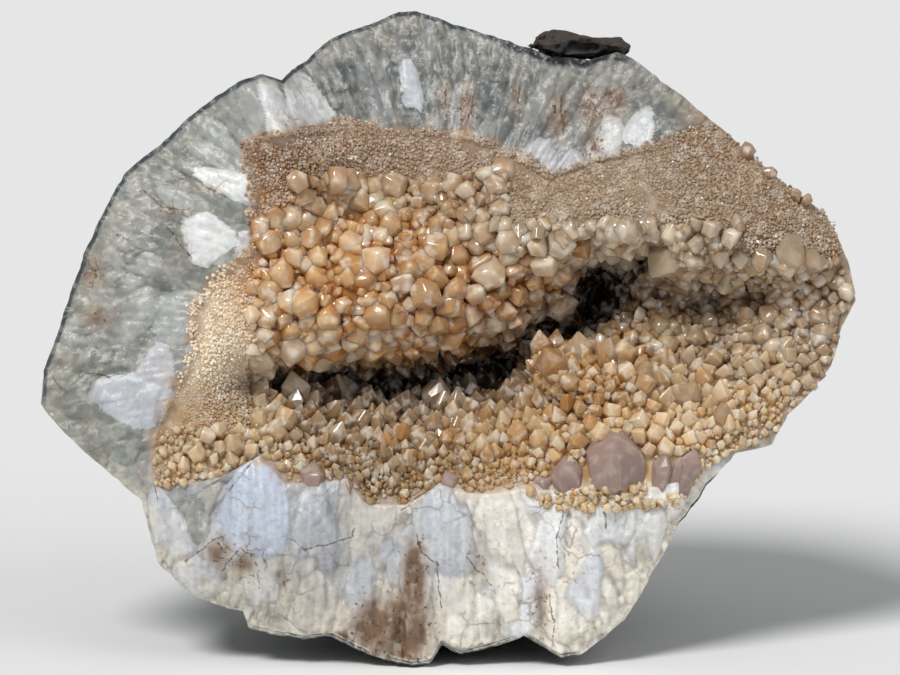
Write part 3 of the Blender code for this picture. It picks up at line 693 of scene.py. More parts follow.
angles = np.linspace(0.0, 2 * math.pi, AROUND, endpoint=False)
cosines, sines = np.cos(angles), np.sin(angles)
rim_radius = ragged_rim(angles)
seam_radius = np.minimum(radius_at(seam, angles), rim_radius - 4.5)
floor_steps = np.linspace(0, 1, FLOOR_RINGS + 1)[1:, None] ** 0.8
wall_steps = np.linspace(0, 1, WALL_RINGS + 1)[1:-1, None]
radii = np.concatenate([
    seam_radius * floor_steps, seam_radius + (rim_radius - RIM_RINGS[0] - seam_radius) * wall_steps,
    rim_radius - np.array(RIM_RINGS)[:, None]])
face_across = (CENTRE[0] + radii * cosines).ravel()
face_up = (CENTRE[1] + radii * sines).ravel()
lift, owner, margin, share = surface_lift(face_across, face_up)
fibre = fibres(face_across, face_up, *FINE_FIBRES) * smooth_step(0.0, 0.1, share)
fibre_height = FIBRE_HEIGHT * fibre * smooth_step(1.0, 0.94, share)
face_back = face_depth(face_across, face_up) - lift - fibre_height
from_rim = (rim_radius - radii).ravel()
width = np.tile(rim_radius - seam_radius, len(radii))
face_tint = wall_colours(face_across, face_up, owner, margin, lift, share, width)
face_tint = add_rim_skin(face_tint, np.tile(angles, len(radii)), from_rim, face_across, face_up)
bottom = smooth_step(*BOTTOM_WALL, face_up)
face_stain = 0.22 + 0.12 * bottom + strongest(STAIN_PATCHES, face_across, face_up)
face_stain = face_stain * smooth_step(0.0, 3.0, share * width)
face_crack = crack_side(face_across, face_up)
print("points of the broken face:", len(face_tint))

# %% [markdown]
# The crust changes colour from place to place: honey with orange cores on the mound, beige at the right,
# tan and sugary on the shelf, and darker down in the slit and deep in the hollow, where the darkening is
# painted shade. Named zones say so, and every crystal mixes the colours of the zones it stands in.

# %% Zones of the crust
ZONES = [
    # across, up, reach across, reach up, tip colour, foot colour, share of deep honey crystals
    (-40, 148, 38, 28, linear(228, 196, 150), linear(196, 132, 64), 0.08),
    # The middle of the mound is a darker honey: painted shadow of the shelf above it.
    (-5, 135, 45, 24, linear(190, 156, 112), linear(162, 104, 50), 0.08),
    (-62, 186, 14, 12, linear(196, 162, 134), linear(124, 84, 56), 0.0),
    (-62, 168, 12, 14, linear(212, 186, 160), linear(174, 128, 84), 0.06),
    (-20, 186, 45, 9, linear(204, 182, 162), linear(172, 144, 120), 0.0),
    (-10, 172, 40, 8, linear(190, 166, 132), linear(156, 120, 80), 0.05),
    (60, 172, 50, 12, linear(204, 182, 158), linear(172, 146, 120), 0.0),
    (60, 157, 50, 7, linear(220, 208, 188), linear(190, 170, 142), 0.03),
    (112, 168, 32, 18, linear(200, 176, 150), linear(160, 130, 104), 0.0),
    (-88, 122, 16, 24, linear(255, 246, 226), linear(255, 232, 200), 0.0),
    (-92, 82, 22, 18, linear(232, 210, 176), linear(206, 170, 126), 0.02),
    (88, 125, 34, 22, linear(196, 172, 138), linear(140, 108, 76), 0.03),
    (125, 128, 26, 30, linear(200, 178, 148), linear(160, 130, 98), 0.03),
    (110, 92, 28, 18, linear(236, 212, 174), linear(206, 168, 120), 0.06),
    (50, 105, 28, 14, linear(214, 180, 134), linear(184, 134, 76), 0.08),
    # Painted shade: the crust down in the slit gets dark tip and foot colours.
    (-20, 98, 60, 10, linear(126, 100, 76), linear(68, 46, 32), 0.03),
    # The lower crust is darker in the middle: painted shade.
    (-20, 80, 60, 12, linear(172, 146, 112), linear(134, 102, 66), 0.08),
    (-70, 78, 22, 14, linear(230, 206, 170), linear(204, 166, 118), 0.04),
    (40, 80, 50, 14, linear(232, 202, 158), linear(208, 160, 98), 0.08),
    (80, 78, 30, 14, linear(252, 230, 198), linear(230, 194, 148), 0.03),
]
ORANGE_CORE = linear(190, 132, 62)
PALE_TIP = linear(238, 226, 204)
PALE_SHARE = 0.2
PAINTED_SHADE_DEPTHS = (27, 55)
PAINTED_DEPTH_SHADE = np.array((0.90, 0.95, 0.97))


def zone_colours(across, up, back):
    """Tip colour, foot colour and the share of deep honey crystals, mixed from the zones nearby."""
    weights = np.stack([spot(across, up, *zone[:4]) for zone in ZONES], axis=1) ** 1.5 + 1e-9
    weights /= weights.sum(axis=1, keepdims=True)
    # Painted shade: tip and foot colours darken the further back the crust lies in the hollow.
    painted_depth_shade = 1.0 - PAINTED_DEPTH_SHADE * smooth_step(*PAINTED_SHADE_DEPTHS, back)[:, None]
    tip = weights @ np.array([z[4] for z in ZONES]) * painted_depth_shade
    foot = weights @ np.array([z[5] for z in ZONES]) * painted_depth_shade
    return tip, foot, weights @ np.array([z[6] for z in ZONES])


print("zones of colour:", len(ZONES))

# %% [markdown]
# Now the broken face can be closed and built. Under the crystals its floor takes the colour of their feet, so
# that a gap between two of them looks into coloured quartz. A ring behind the rim, a smaller one inside the
# stone and a pole at either end close the mesh.

# %% Close the broken face
under = smooth_step(0.8, -1.2, share * width)
tip, foot, _ = zone_colours(face_across, face_up, face_back)
face_tint = blend(face_tint, foot * 0.8, under)

INSIDE_BACK = 84.0
INNER_SHARE = 0.5
lip_back = face_back.reshape(radii.shape)[-1] + 4.0
lip_radius = rim_radius - 1.2
lip_points = to_world(CENTRE[0] + lip_radius * cosines, CENTRE[1] + lip_radius * sines, lip_back)
inner_radius = INNER_SHARE * seam_radius
inner_points = to_world(CENTRE[0] + inner_radius * cosines, CENTRE[1] + inner_radius * sines, INSIDE_BACK)
floor_back = float(face_depth(CENTRE[:1], CENTRE[1:])[0]) + FLOOR_DROP
poles = np.array([to_world(*CENTRE, floor_back), to_world(*CENTRE, INSIDE_BACK + 2.0)])
face_points = np.concatenate([to_world(face_across, face_up, face_back), lip_points, inner_points, poles])
face_points[:, 2] = np.maximum(face_points[:, 2], 0.0)
hidden = len(face_points) - len(face_tint)
hidden_tint = np.tile(SLATE, (hidden, 1))
hidden_tint[-2] = foot[0] * 0.8
broken_face = mesh_piece(
    "broken_quartz_face", face_points, ring_triangles(len(radii) + 2, AROUND),
    np.concatenate([face_tint, hidden_tint]), smooth=True,
    stain=np.append(face_stain, np.zeros(hidden)),
    crack=np.append(face_crack, np.full(hidden, FAR_FROM_CRACK)))

# %% [markdown]
# The outside is a thin dark skin over low knobs. Nobody sees it in the picture, so its look is a guess from
# such stones: dark green-grey, with lighter, earthy high spots. Three sizes of noise give the knobs. The skin
# runs from the rim round the back to the rear pole, and a cap inside the stone closes it.

# %% Build the outer skin
SKIN_AROUND = 600
SKIN_RINGS = 96
SKIN_INSET = 0.5
BODY_BACK = 128.0
BACK_POLE = (4.0, 78.0)
BACK_FULLNESS = 2.6
KNOB_SIZE = 24.0
KNOB_HEIGHT = 9.0
LUMP_SIZE = 6.5
GRIT_SIZE = 2.2
SKIN_GREY = linear(58, 64, 62)
EARTH = linear(118, 110, 90)
DULL_GREEN = linear(62, 90, 82)
BACK_INSET = 2.6

angles = np.linspace(0.0, 2 * math.pi, SKIN_AROUND, endpoint=False)
cosines, sines = np.cos(angles), np.sin(angles)
edge_radius = ragged_rim(angles) - SKIN_INSET
edge_across, edge_up = CENTRE[0] + edge_radius * cosines, CENTRE[1] + edge_radius * sines
edge_back = face_depth(edge_across, edge_up) - surface_lift(edge_across, edge_up)[0] + 0.25
turns = np.linspace(0, 0.5 * math.pi, SKIN_RINGS + 1)[:-1, None]
narrowing = np.cos(turns) ** (2 / BACK_FULLNESS)
deepening = np.sin(turns) ** (2 / BACK_FULLNESS)
nearby = [radius_at(rim, angles + math.radians(step)) for step in range(-30, 31, 10)]
blurred = np.mean(nearby, axis=0) - BACK_INSET
skin_radius = edge_radius + (blurred - edge_radius) * np.minimum(1.0, 1.5 * np.sin(turns))
skin_across = BACK_POLE[0] + (CENTRE[0] + skin_radius * cosines - BACK_POLE[0]) * narrowing
skin_up = BACK_POLE[1] + (CENTRE[1] + skin_radius * sines - BACK_POLE[1]) * narrowing
skin_back = edge_back + (BODY_BACK - BACK_INSET - edge_back) * deepening
drawn = np.stack([skin_across, skin_up, skin_back], axis=-1).reshape(-1, 3)
side = np.stack([cosines * narrowing, sines * narrowing, deepening + 0 * angles], axis=-1).reshape(-1, 3)
fading = np.repeat(np.sin(turns), SKIN_AROUND)
knob = point_noise(drawn, KNOB_SIZE, 0)
lump = point_noise(drawn, LUMP_SIZE, 4)
grit = point_noise(drawn, GRIT_SIZE, 6)
height = KNOB_HEIGHT * knob * fading + (0.8 * lump + 0.3 * grit - 0.3) * smooth_step(0.0, 0.12, fading)
drawn = drawn + side * height[:, None]
earthy = smooth_step(0.05, 0.6, 0.7 * lump + 0.5 * grit)
skin_tint = blend(np.tile(SKIN_GREY, (len(drawn), 1)), EARTH, earthy * 0.8)
green = smooth_step(0.1, 0.5, point_noise(drawn, 14.0, 8))
skin_tint = blend(skin_tint, DULL_GREEN, green * 0.6)

cap_radius = edge_radius - 4.0
cap_points = to_world(CENTRE[0] + cap_radius * cosines, CENTRE[1] + cap_radius * sines, edge_back + 9.0)
deep_radius = INNER_SHARE * np.minimum(radius_at(seam, angles), edge_radius - 4.5)
deep_points = to_world(CENTRE[0] + deep_radius * cosines, CENTRE[1] + deep_radius * sines, INSIDE_BACK + 4.0)
poles = np.array([to_world(*CENTRE, INSIDE_BACK + 6.0), to_world(*BACK_POLE, BODY_BACK - 3.0)])
skin_points = np.concatenate([deep_points, cap_points, to_world(*drawn.T), poles])
skin_points[:, 2] = np.maximum(skin_points[:, 2], 0.0)
inside_tint = np.tile(SLATE, (2 * SKIN_AROUND, 1))
pole_tint = np.tile(linear(70, 74, 68), (2, 1))
skin = mesh_piece(
    "knobbly_outer_skin", skin_points, ring_triangles(SKIN_RINGS + 2, SKIN_AROUND),
    np.concatenate([inside_tint, skin_tint, pole_tint]), smooth=True)

# %% [markdown]
# Crystals of one kind share a few templates: a six-sided prism with a pointed end whose edges are slightly
# worn. Each template is made once with a cone, a poked top and a bevel, and then set hundreds of times by
# arrays, with its own size, turn and tint. Copies as separate objects would be too many to handle.

# %% Crystal templates
FOOT_RADIUS = 0.86
TIP_ASIDE = 0.3
SHOULDER_STEP = 0.16
LOWEST_WORN = -0.6


def crystal_template(seed, wear, segments):
    """Points and triangles of a crystal of radius 1: its foot at -1, its shoulder at 0, its tip at 1."""
    rng = random.Random(seed)
    bm = bmesh.new()
    bmesh.ops.create_cone(bm, cap_ends=True, segments=6, radius1=FOOT_RADIUS, radius2=1.0, depth=1.0)
    bmesh.ops.translate(bm, vec=(0, 0, -0.5), verts=bm.verts)
    bm.faces.ensure_lookup_table()
    top = max(bm.faces, key=lambda face: face.calc_center_median().z)
    shoulder = list(top.verts)
    made = bmesh.ops.poke(bm, faces=[top], offset=1.0)
    for tip in made["verts"]:
        tip.co.x += rng.uniform(-TIP_ASIDE, TIP_ASIDE)
        tip.co.y += rng.uniform(-TIP_ASIDE, TIP_ASIDE)
    for index, vert in enumerate(shoulder):
        vert.co.z += SHOULDER_STEP * ((-1) ** index + rng.uniform(-0.5, 0.5))
        vert.co.x *= rng.uniform(0.85, 1.1)
    edges = [edge for edge in bm.edges if min(vert.co.z for vert in edge.verts) > LOWEST_WORN]
    bmesh.ops.bevel(bm, geom=edges, offset=wear, segments=segments, affect="EDGES", profile=0.5)
    return mesh_arrays(bm)


WORN = [crystal_template(seed, 0.13, 2) for seed in range(8)]
POINTED = [crystal_template(seed + 40, 0.06, 1) for seed in range(8)]
print("triangles of a worn and of a pointed crystal:", len(WORN[0][1]), len(POINTED[0][1]))

# %% [markdown]
# All crystals of one kind are set with the same few sums on arrays: the template's points are stretched to
# each crystal's own sizes, turned the way it points and moved to its foot. Brown specks are dust on the
# shelf and painted shade in the slit, the throat and the corners, so each crystal also carries how much dust
# and painted shade its place has.

# %% Set crystals
DUST_AND_SHADE_PLACES = [
    # across, up, reach across, reach up, strength
    (18, 117, 24, 5, 1.0), (-8, 112, 10, 4, 0.9), (-50, 106, 16, 4, 0.8), (34, 124, 8, 5, 1.0),
    (44, 132, 6, 7, 1.0), (110, 133, 5, 4, 0.7), (-64, 112, 4, 6, 0.8), (60, 150, 14, 3, 0.4),
    (-62, 186, 12, 10, 0.4), (110, 168, 34, 14, 0.30), (60, 172, 40, 10, 0.22), (-10, 184, 40, 6, 0.25),
]


def set_crystals(name, templates, feet, aims, radii, shown, tips, foot_tint, tip_tint, buried, seed,
                 smooth=False, flattest=0.68):
    """One mesh of crystals: feet in the drawing, aims as world directions, sizes in millimetres."""
    rng = np.random.default_rng(seed)
    kinds = rng.integers(0, len(templates), len(feet))
    turns = rng.uniform(0, 2 * math.pi, len(feet))
    flatness = rng.uniform(flattest, 1.08, len(feet))
    starts = to_world(*feet.T)
    # Dust on the shelf, painted shade in the slit, the throat and the corners.
    dust_and_shade = strongest(DUST_AND_SHADE_PLACES, feet[:, 0], feet[:, 1])
    all_points, all_triangles, all_tints, all_dust_and_shade, count = [], [], [], [], 0
    for kind, (points, triangles) in enumerate(templates):
        chosen = kinds == kind
        if not chosen.any():
            continue
        axis = aims[chosen]
        helper = np.where(np.abs(axis[:, 2:3]) < 0.9, [[0.0, 0.0, 1.0]], [[1.0, 0.0, 0.0]])
        right = np.cross(helper, axis)
        right /= np.linalg.norm(right, axis=1, keepdims=True)
        ahead = np.cross(axis, right)
        cosine, sine = np.cos(turns[chosen])[:, None], np.sin(turns[chosen])[:, None]
        right, ahead = right * cosine + ahead * sine, ahead * cosine - right * sine
        below = np.minimum(points[:, 2], 0.0)[None, :] * (shown[chosen] + buried)[:, None]
        above = np.maximum(points[:, 2], 0.0)[None, :] * tips[chosen][:, None]
        along = below + above + shown[chosen][:, None]
        wide = radii[chosen][:, None] * points[None, :, 0]
        deep = (radii * flatness)[chosen][:, None] * points[None, :, 1]
        placed = starts[chosen][:, None, :] + MM * (
            wide[..., None] * right[:, None, :] + deep[..., None] * ahead[:, None, :]
            + along[..., None] * axis[:, None, :])
        reach = (shown + tips)[chosen][:, None]
        # Each crystal is darker at its foot than at its tip: partly iron stain, partly painted shade between
        # crystals.
        part_way = np.clip(along / reach, 0.0, 1.0)
        tints = blend(foot_tint[chosen][:, None, :], tip_tint[chosen][:, None, :], part_way)
        copies = np.arange(chosen.sum())[:, None, None] * len(points)
        all_points.append(placed.reshape(-1, 3))
        all_triangles.append((triangles[None] + copies).reshape(-1, 3) + count)
        all_tints.append(tints.reshape(-1, 3))
        all_dust_and_shade.append(np.repeat(dust_and_shade[chosen], len(points)))
        count += placed.shape[0] * placed.shape[1]
    return mesh_piece(
        name, np.concatenate(all_points), np.concatenate(all_triangles), np.concatenate(all_tints), smooth,
        stain=np.concatenate(all_dust_and_shade))


print("dusty places:", len(DUST_AND_SHADE_PLACES))

# %% [markdown]
# Crystals crowd each other, so their feet keep a distance: darts are thrown at the face, more on steep parts,
# and a dart that lands too near another is taken away. A plain grid would show its rows.

# %% Scatter feet over the crust
STEEPEST = 5.0
GRAIN_ROOM = 0.85
DART_ACROSS = (-115, 148)
DART_UP = (58, 204)


def surface_back(across, up):
    return face_depth(across, up) - surface_lift(across, up)[0]


def coarseness(across, up):
    """Size of the crystals for their place: 1 in the hollow, about half near the lower and left seam."""
    beyond = wall_share(across, up)[2]
    low = smooth_step(112, 96, up)
    deep_inside = smooth_step(3.0, 26.0, -beyond)
    return 1.0 - low * (1.0 - deep_inside) * 0.55


def throw_darts(count, seed, chance):
    """Random places on the crust, as feet in the drawing: more of them on steep parts."""
    rng = np.random.default_rng(seed)
    across, up = rng.uniform(*DART_ACROSS, count), rng.uniform(*DART_UP, count)
    steepness = 1.0 / np.clip(-face_normal(across, up)[:, 2], 1.0 / STEEPEST, 1.0)
    luck = rng.uniform(0, 1, count)
    good = (luck * STEEPEST < steepness) & (rng.uniform(0, 1, count) < chance(across, up))
    across, up = across[good], up[good]
    return np.stack([across, up, surface_back(across, up)], axis=1)


def one_in_each_cell(feet, room):
    """Thin the feet out to one for each cube of space."""
    cells = np.floor(feet / room).astype(int)
    return feet[np.sort(np.unique(cells, axis=0, return_index=True)[1])]


def keep_apart(feet, spacing):
    """Thin the feet out until each has its room in space."""
    room = (spacing * coarseness(feet[:, 0], feet[:, 1])) ** 2
    kept = np.empty((len(feet), 3))
    total = 0
    for foot, apart in zip(feet, room):
        if total == 0 or ((kept[:total] - foot) ** 2).sum(axis=1).min() > apart:
            kept[total] = foot
            total += 1
    return kept[:total]


def aim_out(feet, seed, forward, upward, loose):
    """World directions: out of the face, somewhat towards the front and up, and a little at random."""
    rng = np.random.default_rng(seed)
    out = face_normal(feet[:, 0], feet[:, 1])
    out = out + np.array([0.0, upward, -forward]) + rng.normal(0, loose, out.shape)
    return turn_to_world(out)


mound_back = surface_back(np.array([0.0]), np.array([135.0]))
print("the middle of the mound lies", round(float(mound_back[0]), 1), "mm back")

# %% [markdown]
# Large mauve crystals stand at the lower seam. Their places are needed before they are built, because the
# small crystals keep off them.

# %% Places of the large mauve crystals
MAUVE_PLACES = [
    # across, up, radius, prism shown, tip, lean to the right in degrees
    (60, 71, 12.2, 8, 10, -3), (42.5, 68.5, 7.2, 3, 8, -4), (34.5, 66, 4.0, 3, 4, -10),
    (75, 64, 4.4, 10, 6, 16), (80, 66, 3.2, 9, 4, 20), (84.5, 67, 4.4, 9, 6, 22),
    (-50, 66, 5.2, 5, 5, 4), (-37, 63, 3.4, 4, 4, -8), (0, 65, 4.0, 4, 4, -8),
]
print("large mauve crystals:", len(MAUVE_PLACES))

# %% [markdown]
# Where each kind of crystal grows is a chance between 0 and 1 for every place, so the edges between two kinds
# are ragged. Noise moves them to and fro, as nothing on a real stone ends in a straight line.

# %% Colour and place of the crystals
def crystal_tints(feet, seed):
    """Foot and tip colours for each crystal: paler, plainer or with an orange core, by a seeded draw."""
    rng = np.random.default_rng(seed)
    tip, foot, chance = zone_colours(*feet.T)
    draw = rng.random(len(feet))
    deep = (draw < chance)[:, None]
    pale = (draw > 1.0 - PALE_SHARE)[:, None]
    tip = np.where(deep, tip * 0.35 + ORANGE_CORE * 0.65, tip)
    tip = np.where(pale, tip * 0.45 + PALE_TIP * 0.55, tip)
    vary = rng.uniform(0.76, 1.0, (len(feet), 1))
    return foot * vary, tip * vary


BARE_EDGE = 4.2
EDGE_STRIP = (1.5, 6.0)
EDGE_UP = (86.0, 190.0)
FARTHEST_RIGHT = 144.0
RIGHT_SIDE = (math.radians(-55), math.radians(40))


def inside_seam(across, up):
    """Millimetres inside the seam. At the right the crust runs on nearly to the rim."""
    _, width, beyond = wall_share(across, up)
    angle = np.arctan2(up - CENTRE[1], across - CENTRE[0])
    at_right = smooth_step(RIGHT_SIDE[0] - 0.1, RIGHT_SIDE[0] + 0.1, angle)
    at_right = at_right * smooth_step(RIGHT_SIDE[1] + 0.1, RIGHT_SIDE[1] - 0.1, angle)
    return np.minimum(-beyond + at_right * (width - BARE_EDGE), width - beyond - BARE_EDGE)


def clear_of_mauve(across, up):
    """Keep small crystals off the large mauve ones."""
    away = np.ones(len(across), bool)
    for a, u, radius, shown, tip, _ in MAUVE_PLACES:
        high = u + shown + 0.4 * tip
        away &= (np.abs(across - a) > radius * 0.95) | (up < u - 3) | (up > high)
    return away


def sugar_chance(across, up):
    """Sugary places: the shelf, the strip under the top lobe and the band beside the left lobe."""
    shelf = smooth_step(158, 166, up + 2.5 * drawn_noise(across, up, 7.0, 41)) * smooth_step(16, 26, across)
    top = smooth_step(176, 184, up + 4 * drawn_noise(across, up, 9.0, 42)) * smooth_step(-75, -70, across)
    band = smooth_step(-68, -76, across + 4 * drawn_noise(across, up, 9.0, 43)) * smooth_step(84, 92, up)
    corner = smooth_step(-54, -62, across) * smooth_step(160, 168, up)
    edge = smooth_step(100, 112, across) * smooth_step(146, 154, up)
    where = np.maximum.reduce([shelf, top, band, corner, edge])
    ragged = inside_seam(across, up) + 4.0 * drawn_noise(across, up, 6.0, 44)
    return where * smooth_step(-5.0, 0.5, ragged) * (inside_seam(across, up) > -5.0)


def crust_chance(across, up):
    ragged = inside_seam(across, up) + 1.5 * drawn_noise(across, up, 5.0, 45)
    return smooth_step(0.55, 0.25, sugar_chance(across, up)) * (ragged > 0.3) * clear_of_mauve(across, up)


def mound_chance(across, up):
    return crust_chance(across, up) * (up > 112 + 0.25 * (across + 40)) * (across < 42)


def right_chance(across, up):
    return crust_chance(across, up) * (across >= 42) * (up > 112)


def lower_chance(across, up):
    low = (up <= 112 + 0.25 * (across + 40)) & (across < 42) | (across >= 42) & (up <= 112)
    return crust_chance(across, up) * low


def edge_chance(across, up):
    """The strip along the right rim, where the crust runs out to the edge of the stone."""
    _, width, beyond = wall_share(across, up)
    angle = np.arctan2(up - CENTRE[1], across - CENTRE[0])
    at_right = (angle > RIGHT_SIDE[0]) & (angle < RIGHT_SIDE[1])
    from_rim = width - beyond
    bare = (from_rim > EDGE_STRIP[0]) & (from_rim < EDGE_STRIP[1]) & (across < FARTHEST_RIGHT)
    beside = (up > EDGE_UP[0]) & (up < EDGE_UP[1])
    return bare * at_right * beside * smooth_step(0.55, 0.25, sugar_chance(across, up))


def worn_chance(across, up):
    return np.maximum.reduce([mound_chance(across, up), right_chance(across, up), edge_chance(across, up)])


on_shelf = sugar_chance(np.array([90.0]), np.array([175.0]))
print("chance of druse in the middle of the shelf:", round(float(on_shelf[0]), 2))

# %% [markdown]
# Five kinds of crystal are grown: worn ones on the mound and at the right, pointed ones on the lower crust,
# and small ones of both sorts between them, as the spaces between large crystals fill with small ones.

# %% Crystals of the honey mound, the right and the lower crust
def grow(name, templates, darts, spacing, radii, shown, tips, aim, seed, chance, smooth=False, buried=3.5,
         honey=0.0):
    """Scatter one kind of crystal and build its mesh. Radii in mm, shown and tips in radii."""
    feet = throw_darts(darts, seed, chance)
    feet = keep_apart(feet, spacing) if spacing else one_in_each_cell(feet, GRAIN_ROOM)
    rng = np.random.default_rng(seed + 1)
    size = rng.uniform(*radii, len(feet)) * coarseness(feet[:, 0], feet[:, 1])
    foot_tint, tip_tint = crystal_tints(feet, seed + 2)
    tip_tint = blend(tip_tint, foot_tint, np.full(len(feet), honey))
    return set_crystals(
        name, templates, feet, aim_out(feet, seed + 3, *aim), size, size * rng.uniform(*shown, len(feet)),
        size * rng.uniform(*tips, len(feet)), foot_tint, tip_tint, buried, seed + 4, smooth)


mound = grow(
    "honey_mound_crystals", WORN, darts=30000, spacing=4.9, radii=(3.4, 7.0), shown=(0.0, 0.8),
    tips=(0.45, 0.95), aim=(0.25, 0.0, 0.36), seed=100, chance=mound_chance, smooth=True)
right = grow(
    "right_hollow_crystals", WORN, darts=30000, spacing=4.4, radii=(3.0, 5.6), shown=(0.0, 0.7),
    tips=(0.45, 0.9), aim=(0.15, 0.05, 0.32), seed=200, chance=right_chance, smooth=True)
lower = grow(
    "lower_crust_crystals", POINTED, darts=60000, spacing=4.6, radii=(2.6, 5.0), shown=(0.3, 1.3),
    tips=(0.8, 1.4), aim=(0.35, 0.65, 0.26), seed=300, chance=lower_chance)
between_worn = grow(
    "small_worn_crystals", WORN, darts=40000, spacing=3.2, radii=(1.8, 3.2), shown=(0.3, 1.1),
    tips=(0.5, 0.9), aim=(0.25, 0.15, 0.40), seed=350, chance=worn_chance, smooth=True, honey=0.6)
filling = grow(
    "small_filling_crystals", POINTED, darts=90000, spacing=2.7, radii=(1.5, 2.6), shown=(0.3, 1.2),
    tips=(0.8, 1.4), aim=(0.25, 0.45, 0.35), seed=400, chance=lower_chance, honey=0.25)

# %% [markdown]
# Single crystals that catch the eye hang from the shelf's edge or stand on the ridge. They are listed one by
# one, each with the way it points: degrees clockwise from straight up.

# %% Single large crystals
SINGLE_CRYSTALS = [
    # across, up, radius, way, rise, prism shown, tip height, share of honey in its colour
    (82, 151, 8.5, 205, 0.9, 6.0, 7.5, 0.1), (124, 152, 6.5, 170, 0.8, 3.5, 6.0, 0.2),
    (47, 156, 4.6, 178, 0.9, 4.0, 4.5, 0.9), (55, 155, 3.8, 165, 0.9, 4.0, 4.0, 0.3),
    (40, 158, 3.6, 185, 0.9, 4.0, 4.0, 0.4), (33, 160, 3.2, 190, 0.9, 4.5, 3.5, 0.2),
    (26, 161, 3.0, 180, 0.9, 4.0, 3.5, 0.1), (17, 163, 3.6, 185, 0.8, 4.0, 4.0, 0.1),
    (8, 166, 3.0, 175, 0.8, 3.0, 3.5, 0.2), (62, 156, 3.4, 175, 0.9, 3.5, 3.5, 0.5),
    (69, 156, 3.6, 185, 0.9, 3.0, 4.0, 0.2), (98, 152, 4.4, 190, 0.85, 3.0, 4.5, 0.2),
    (106, 151, 3.8, 180, 0.85, 3.0, 4.0, 0.1), (114, 151, 4.0, 175, 0.85, 3.0, 4.0, 0.3),
    (132, 149, 5.4, 165, 0.7, 3.0, 5.0, 0.3),
    (39, 108, 6.8, -15, 0.9, 5.0, 6.5, 0.8), (47, 112, 6.0, 5, 0.9, 5.0, 7.0, 0.4),
    (57, 112, 5.6, 10, 0.8, 4.0, 6.0, 0.3), (70, 104, 6.0, 25, 0.8, 4.0, 6.0, 0.6),
    (86, 97, 5.8, 30, 0.8, 4.0, 6.0, 0.5), (98, 90, 5.2, 35, 0.8, 4.0, 5.5, 0.6),
    (-57, 98, 5.8, -10, 0.7, 5.0, 6.5, 0.1), (-41, 97, 5.4, 10, 0.7, 5.0, 6.5, 0.0),
    (-7, 96, 5.0, 0, 0.8, 4.0, 6.0, 0.2), (3, 92, 4.8, 10, 0.8, 4.0, 6.0, 0.3),
    (22, 97, 5.0, -5, 0.8, 4.0, 6.0, 0.7), (-25, 88, 4.8, -10, 0.8, 4.0, 6.0, 0.2),
]
rows = np.array(SINGLE_CRYSTALS, float)
feet = np.stack([rows[:, 0], rows[:, 1], face_depth(rows[:, 0], rows[:, 1])], axis=1)
ways = np.radians(rows[:, 3])
side_ways = np.stack([np.sin(ways), np.cos(ways), -0.35 + 0 * ways], axis=1) * rows[:, 4:5]
aims = turn_to_world(face_normal(rows[:, 0], rows[:, 1]) + side_ways)
single_tip = blend(np.tile(linear(226, 208, 180), (len(rows), 1)), linear(206, 150, 84), rows[:, 7])
single = set_crystals(
    "single_large_crystals", POINTED, feet, aims, rows[:, 2], rows[:, 5], rows[:, 6],
    single_tip * 0.8, single_tip, 4.0, 71)

# %% [markdown]
# Sugary druse is a crust of points about a millimetre across. A double pyramid is enough for each, with its
# lower half in the stone, because there are thousands of them.

# %% Sugary grains of the shelf and the band
def grain_template(seed):
    rng = random.Random(seed)
    bm = bmesh.new()
    ring = [bm.verts.new((math.cos(a) * rng.uniform(0.85, 1.1), math.sin(a) * rng.uniform(0.85, 1.1), 0.0))
            for a in (math.pi / 3 * step for step in range(6))]
    top = bm.verts.new((rng.uniform(-0.2, 0.2), rng.uniform(-0.2, 0.2), 1.0))
    foot = bm.verts.new((0.0, 0.0, -1.0))
    for one, other in zip(ring, ring[1:] + ring[:1]):
        bm.faces.new((one, other, top))
        bm.faces.new((other, one, foot))
    return mesh_arrays(bm)


GRAINS = [grain_template(seed) for seed in range(8)]
sugar = grow(
    "sugary_druse", GRAINS, darts=420000, spacing=None, radii=(0.42, 0.95), shown=(0.0, 0.5),
    tips=(0.7, 1.5), aim=(0.4, 0.0, 0.34), seed=500, chance=sugar_chance, buried=1.0)

# %% [markdown]
# Large mauve crystals stand at the lower seam, snapped off where the white wall begins. They are smooth, so
# each is one template with strongly worn edges.

# %% Mauve crystals
places = np.array(MAUVE_PLACES, float)
leans = np.radians(places[:, 5])
feet = np.stack([places[:, 0], places[:, 1], face_depth(places[:, 0], places[:, 1]) + 2.0], axis=1)
aims = turn_to_world(np.stack([np.sin(leans), np.cos(leans), -0.22 + 0 * leans], axis=1))
mauve_template = [crystal_template(3, 0.16, 2)]
mauve = set_crystals(
    "mauve_crystals", mauve_template, feet, aims, places[:, 2], places[:, 3], places[:, 4],
    np.tile(MAUVE * 0.9, (len(feet), 1)), np.tile(MAUVE, (len(feet), 1)), 4.0, 64, flattest=1.0)

# %% [markdown]
# The patch of host rock is the solid itself, rebuilt with small cells and then pitted. Its pits are where gas
# bubbles were, so they are round: each is a dent around a random point.

# %% Host rock
CELL_MM = 0.6
PITS = 260
PIT_SIZES_MM = (0.6, 2.2)
ROUGHNESS_MM = 0.4
BASALT = linear(20, 19, 21)
PIT_GREY = linear(66, 60, 56)
UPWARD_BROWN = linear(84, 72, 60)


